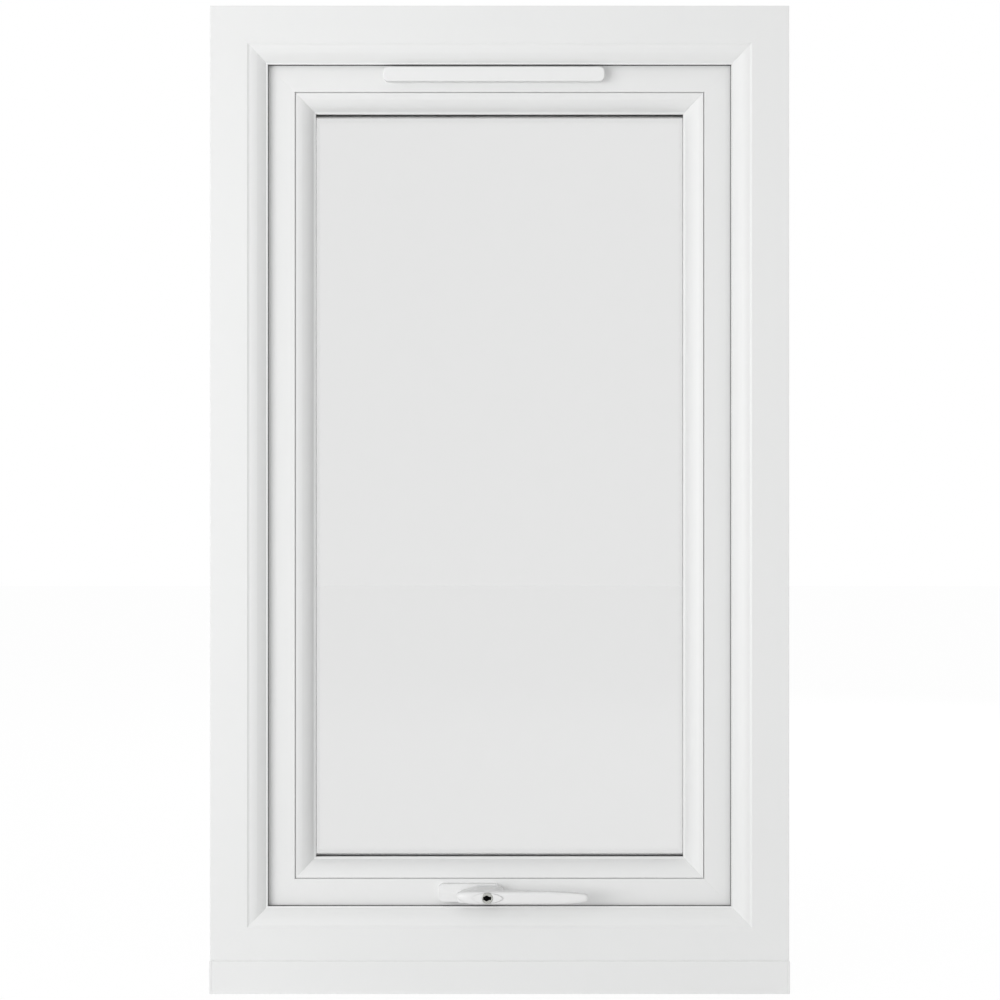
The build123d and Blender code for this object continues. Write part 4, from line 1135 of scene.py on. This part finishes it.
class AddHandle(bpy.types.Operator):
    """Base plate, lever, spindle, pinion and lock"""
    bl_idname = "window.add_handle"
    bl_label = "Handle"

    def execute(self, context):
        dressed("handle_cover", "base_cover", "sash", "white_coating", "white_handle", edge=0)
        finish_node("handle_base", "plated_zinc")
        seat(lever(), "handle", "white_handle", "handle_lever")
        dressed("lock_cylinder", "lock_barrel", "lock", "satin_nickel", "satin_lock", segments=3)
        x, _, z = middle("lock_cylinder")
        front = low("lock_cylinder")[1]
        # The keyway is a near-black prism just behind the lock's face: painted shade of the hollow
        # slot.
        keyway = prism("keyway", keyway_points(x, z), front + 0.5, front + 3.45, "keyway_black")
        seat(keyway, "lock", "satin_lock")
        finish_node("handle_spindle", "plated_zinc")
        finish_node("drive_pinion", "plated_zinc")
        return {"FINISHED"}


class AddVent(bpy.types.Operator):
    """Trickle vent: body, tilting flap and outer canopy"""
    bl_idname = "window.add_vent"
    bl_label = "Trickle vent"

    def execute(self, context):
        dressed("vent_body", "vent_frame", "sash", "white_moulded", "white_vent")
        self.flap()
        dressed("vent_canopy", "vent_hood", "sash", "white_moulded", "white_vent",
                edge=0.0006, segments=3)
        return {"FINISHED"}

    @staticmethod
    def flap():
        """Shallow lid with a rounded rim, its back relieved below the hinge, and its barrel."""
        (x0, _, z0), (x1, _, z1) = low("vent_flap"), high("vent_flap")
        back, hinge = SASH_FACE - 8.3, z0 + 2.6
        front = back - size("flap_thickness")
        corner, rim, skin_thickness, margin = 6.7, 1.3, 1.6, 8
        points = soften([(x0, z0), (x1, z0), (x1, z1), (x0, z1)], corner, 12)
        obj = slab("vent_front", points, edge_depths(back, front, rim, 6), "white_moulded")
        wedge = [(back, hinge), (back - 1.9, z0 - 1), (back + 1, z0 - 1), (back + 1, hinge)]
        relief = skinned("relief", [[Vector((x, y, z)) for y, z in wedge]
                                    for x in (x0 - 1, x1 + 1)], "black_rubber")
        hollow = box_cutter((x0 + margin, front + skin_thickness, z0 + 4.6),
                            (x1 - margin, back + 1, z1 - skin_thickness))
        cut_holes(obj, [relief, hollow])
        weighted(obj)
        seat(obj, "vent", "white_vent", "vent_flap")
        axis, bm = ((x0 + x1) / 2, SASH_FACE - 8 + 2 / 3, hinge), bmesh.new()
        add_rod(bm, axis, (1, 0, 0), radius=2.0, length=x1 - x0 - 30)
        add_rod(bm, axis, (1, 0, 0), radius=1.0, length=x1 - x0 - 22)
        seat(from_bmesh("hinge_barrel", bm, "white_moulded"), "vent", "white_vent")


class AddScrews(bpy.types.Operator):
    """Countersunk screws of the keeps, stays, faceplate and handle"""
    bl_idname = "window.add_screws"
    bl_label = "Screws"

    def execute(self, context):
        for node, body, direction in (("keep_screws", "frame", (0, 0, -1)),
                                      ("faceplate_screws", "sash", (0, 0, 1)),
                                      ("handle_screws", "sash", (0, 1, 0))):
            screws("heads_" + node, node, body, direction)
        for node, body, out in (("stay_frame_screws", "frame", 1),
                                ("stay_sash_screws", "sash", -1)):
            for name, side in (("_left", -1), ("_right", 1)):
                screws("heads_" + node + name, node, body, (side * out, 0, 0), side)
        return {"FINISHED"}


class AddStage(bpy.types.Operator):
    """Floor, soft light and camera"""
    bl_idname = "window.add_stage"
    bl_label = "Stage"

    def execute(self, context):
        scene = context.scene
        scene.view_settings.view_transform = "Standard"
        self.floor()
        self.world(scene)
        self.lamp("key", place=(-2.1, -2.63, 0.24), aim=(0, 0, 0.52), width=2.4, power=70)
        self.lamp("outside", place=(1.9, 2.9, 1.5), aim=(0, 0, 0.6), width=2.0, power=26)
        self.camera(scene)
        return {"FINISHED"}

    @staticmethod
    def pale_rays(graph):
        """1 for camera, mirror and glass rays."""
        camera = graph.node("ShaderNodeLightPath", output="Is Camera Ray")
        seen = camera + camera.beside("Is Glossy Ray") + camera.beside("Is Transmission Ray")
        return seen.maths("MINIMUM", 1.0)

    def floor(self):
        """A floor that looks white and still holds the window's shadow."""
        glow_strength, glow_share, grey = 1.045, 0.88, 0.86
        bm = bmesh.new()
        bmesh.ops.create_grid(bm, x_segments=1, y_segments=1, size=12.0)
        floor = in_scene("floor", mesh_from("floor", bm))
        material = bpy.data.materials.new("pale_floor")
        material.use_nodes = True
        graph = Graph(material.node_tree)
        diffuse = graph.node("ShaderNodeBsdfDiffuse", {}, {"Color": (grey, grey, grey, 1)})
        glow = graph.node("ShaderNodeEmission", {}, {"Strength": glow_strength})
        surface = graph.node("ShaderNodeMixShader", {}, {
            0: self.pale_rays(graph) * glow_share, 1: diffuse, 2: glow})
        graph.node("ShaderNodeOutputMaterial", {}, {"Surface": surface})
        floor.data.materials.append(material)

    def world(self, scene):
        """A world that looks white and lights the window less than it shows."""
        light = 0.645
        scene.world = bpy.data.worlds.new("studio")
        scene.world.use_nodes = True
        graph = Graph(scene.world.node_tree)
        sky = graph.node("ShaderNodeBackground", {}, {
            "Color": (1, 1, 1, 1), "Strength": self.pale_rays(graph) * (1.0 - light) + light})
        graph.node("ShaderNodeOutputWorld", {}, {"Surface": sky})

    @staticmethod
    def lamp(name, place, aim, width, power):
        data = bpy.data.lights.new(name, "AREA")
        data.shape, data.size, data.energy = "DISK", width, power
        lamp = in_scene(name, data)
        lamp.location = place
        lamp.rotation_euler = (Vector(aim) - Vector(place)).to_track_quat("-Z", "Y").to_euler()
        lamp.visible_camera = False

    @staticmethod
    def camera(scene):
        """Camera in front of the window; its shift is half a pixel of the photo's crop."""
        distance, width, height, shift = 2.55, 1.0528, 0.520, 0.00045
        data = bpy.data.cameras.new("camera")
        data.sensor_width = 36.0
        data.lens = data.sensor_width * distance / width
        data.shift_x, data.shift_y = shift, -shift
        camera = in_scene("camera", data)
        camera.location = (0.0, ROOM * MM - distance, height)
        camera.rotation_euler = (math.radians(90), 0, 0)
        scene.camera = camera


class WindowPanel(bpy.types.Panel):
    """Lists the window's sizes, colours and pieces in the sidebar."""
    bl_idname = "VIEW3D_PT_window"
    bl_label = "Top-hung window"
    bl_space_type = "VIEW_3D"
    bl_region_type = "UI"
    bl_category = "Window"

    def draw(self, context):
        for group in (context.scene.window_sizes, context.scene.window_colours):
            for key in group.__annotations__:
                self.layout.prop(group, key)
        for operator in PIECES:
            self.layout.operator(operator.bl_idname)


PIECES = (AddStage, AddFrame, AddSash, AddBeads, AddGlazing, AddSeals, AddCill, AddStays, AddLatch,
          AddHandle, AddVent, AddScrews)
CLASSES = (WindowSizes, WindowColours) + PIECES + (WindowPanel,)


def register():
    for item in CLASSES:
        bpy.utils.register_class(item)
    bpy.types.Scene.window_sizes = bpy.props.PointerProperty(type=WindowSizes)
    bpy.types.Scene.window_colours = bpy.props.PointerProperty(type=WindowColours)


def unregister():
    del bpy.types.Scene.window_sizes
    del bpy.types.Scene.window_colours
    for item in reversed(CLASSES):
        bpy.utils.unregister_class(item)


def main():
    register()
    for operator in PIECES:
        group, name = operator.bl_idname.split(".")
        getattr(getattr(bpy.ops, group), name)()


if __name__ == "__main__":
    main()
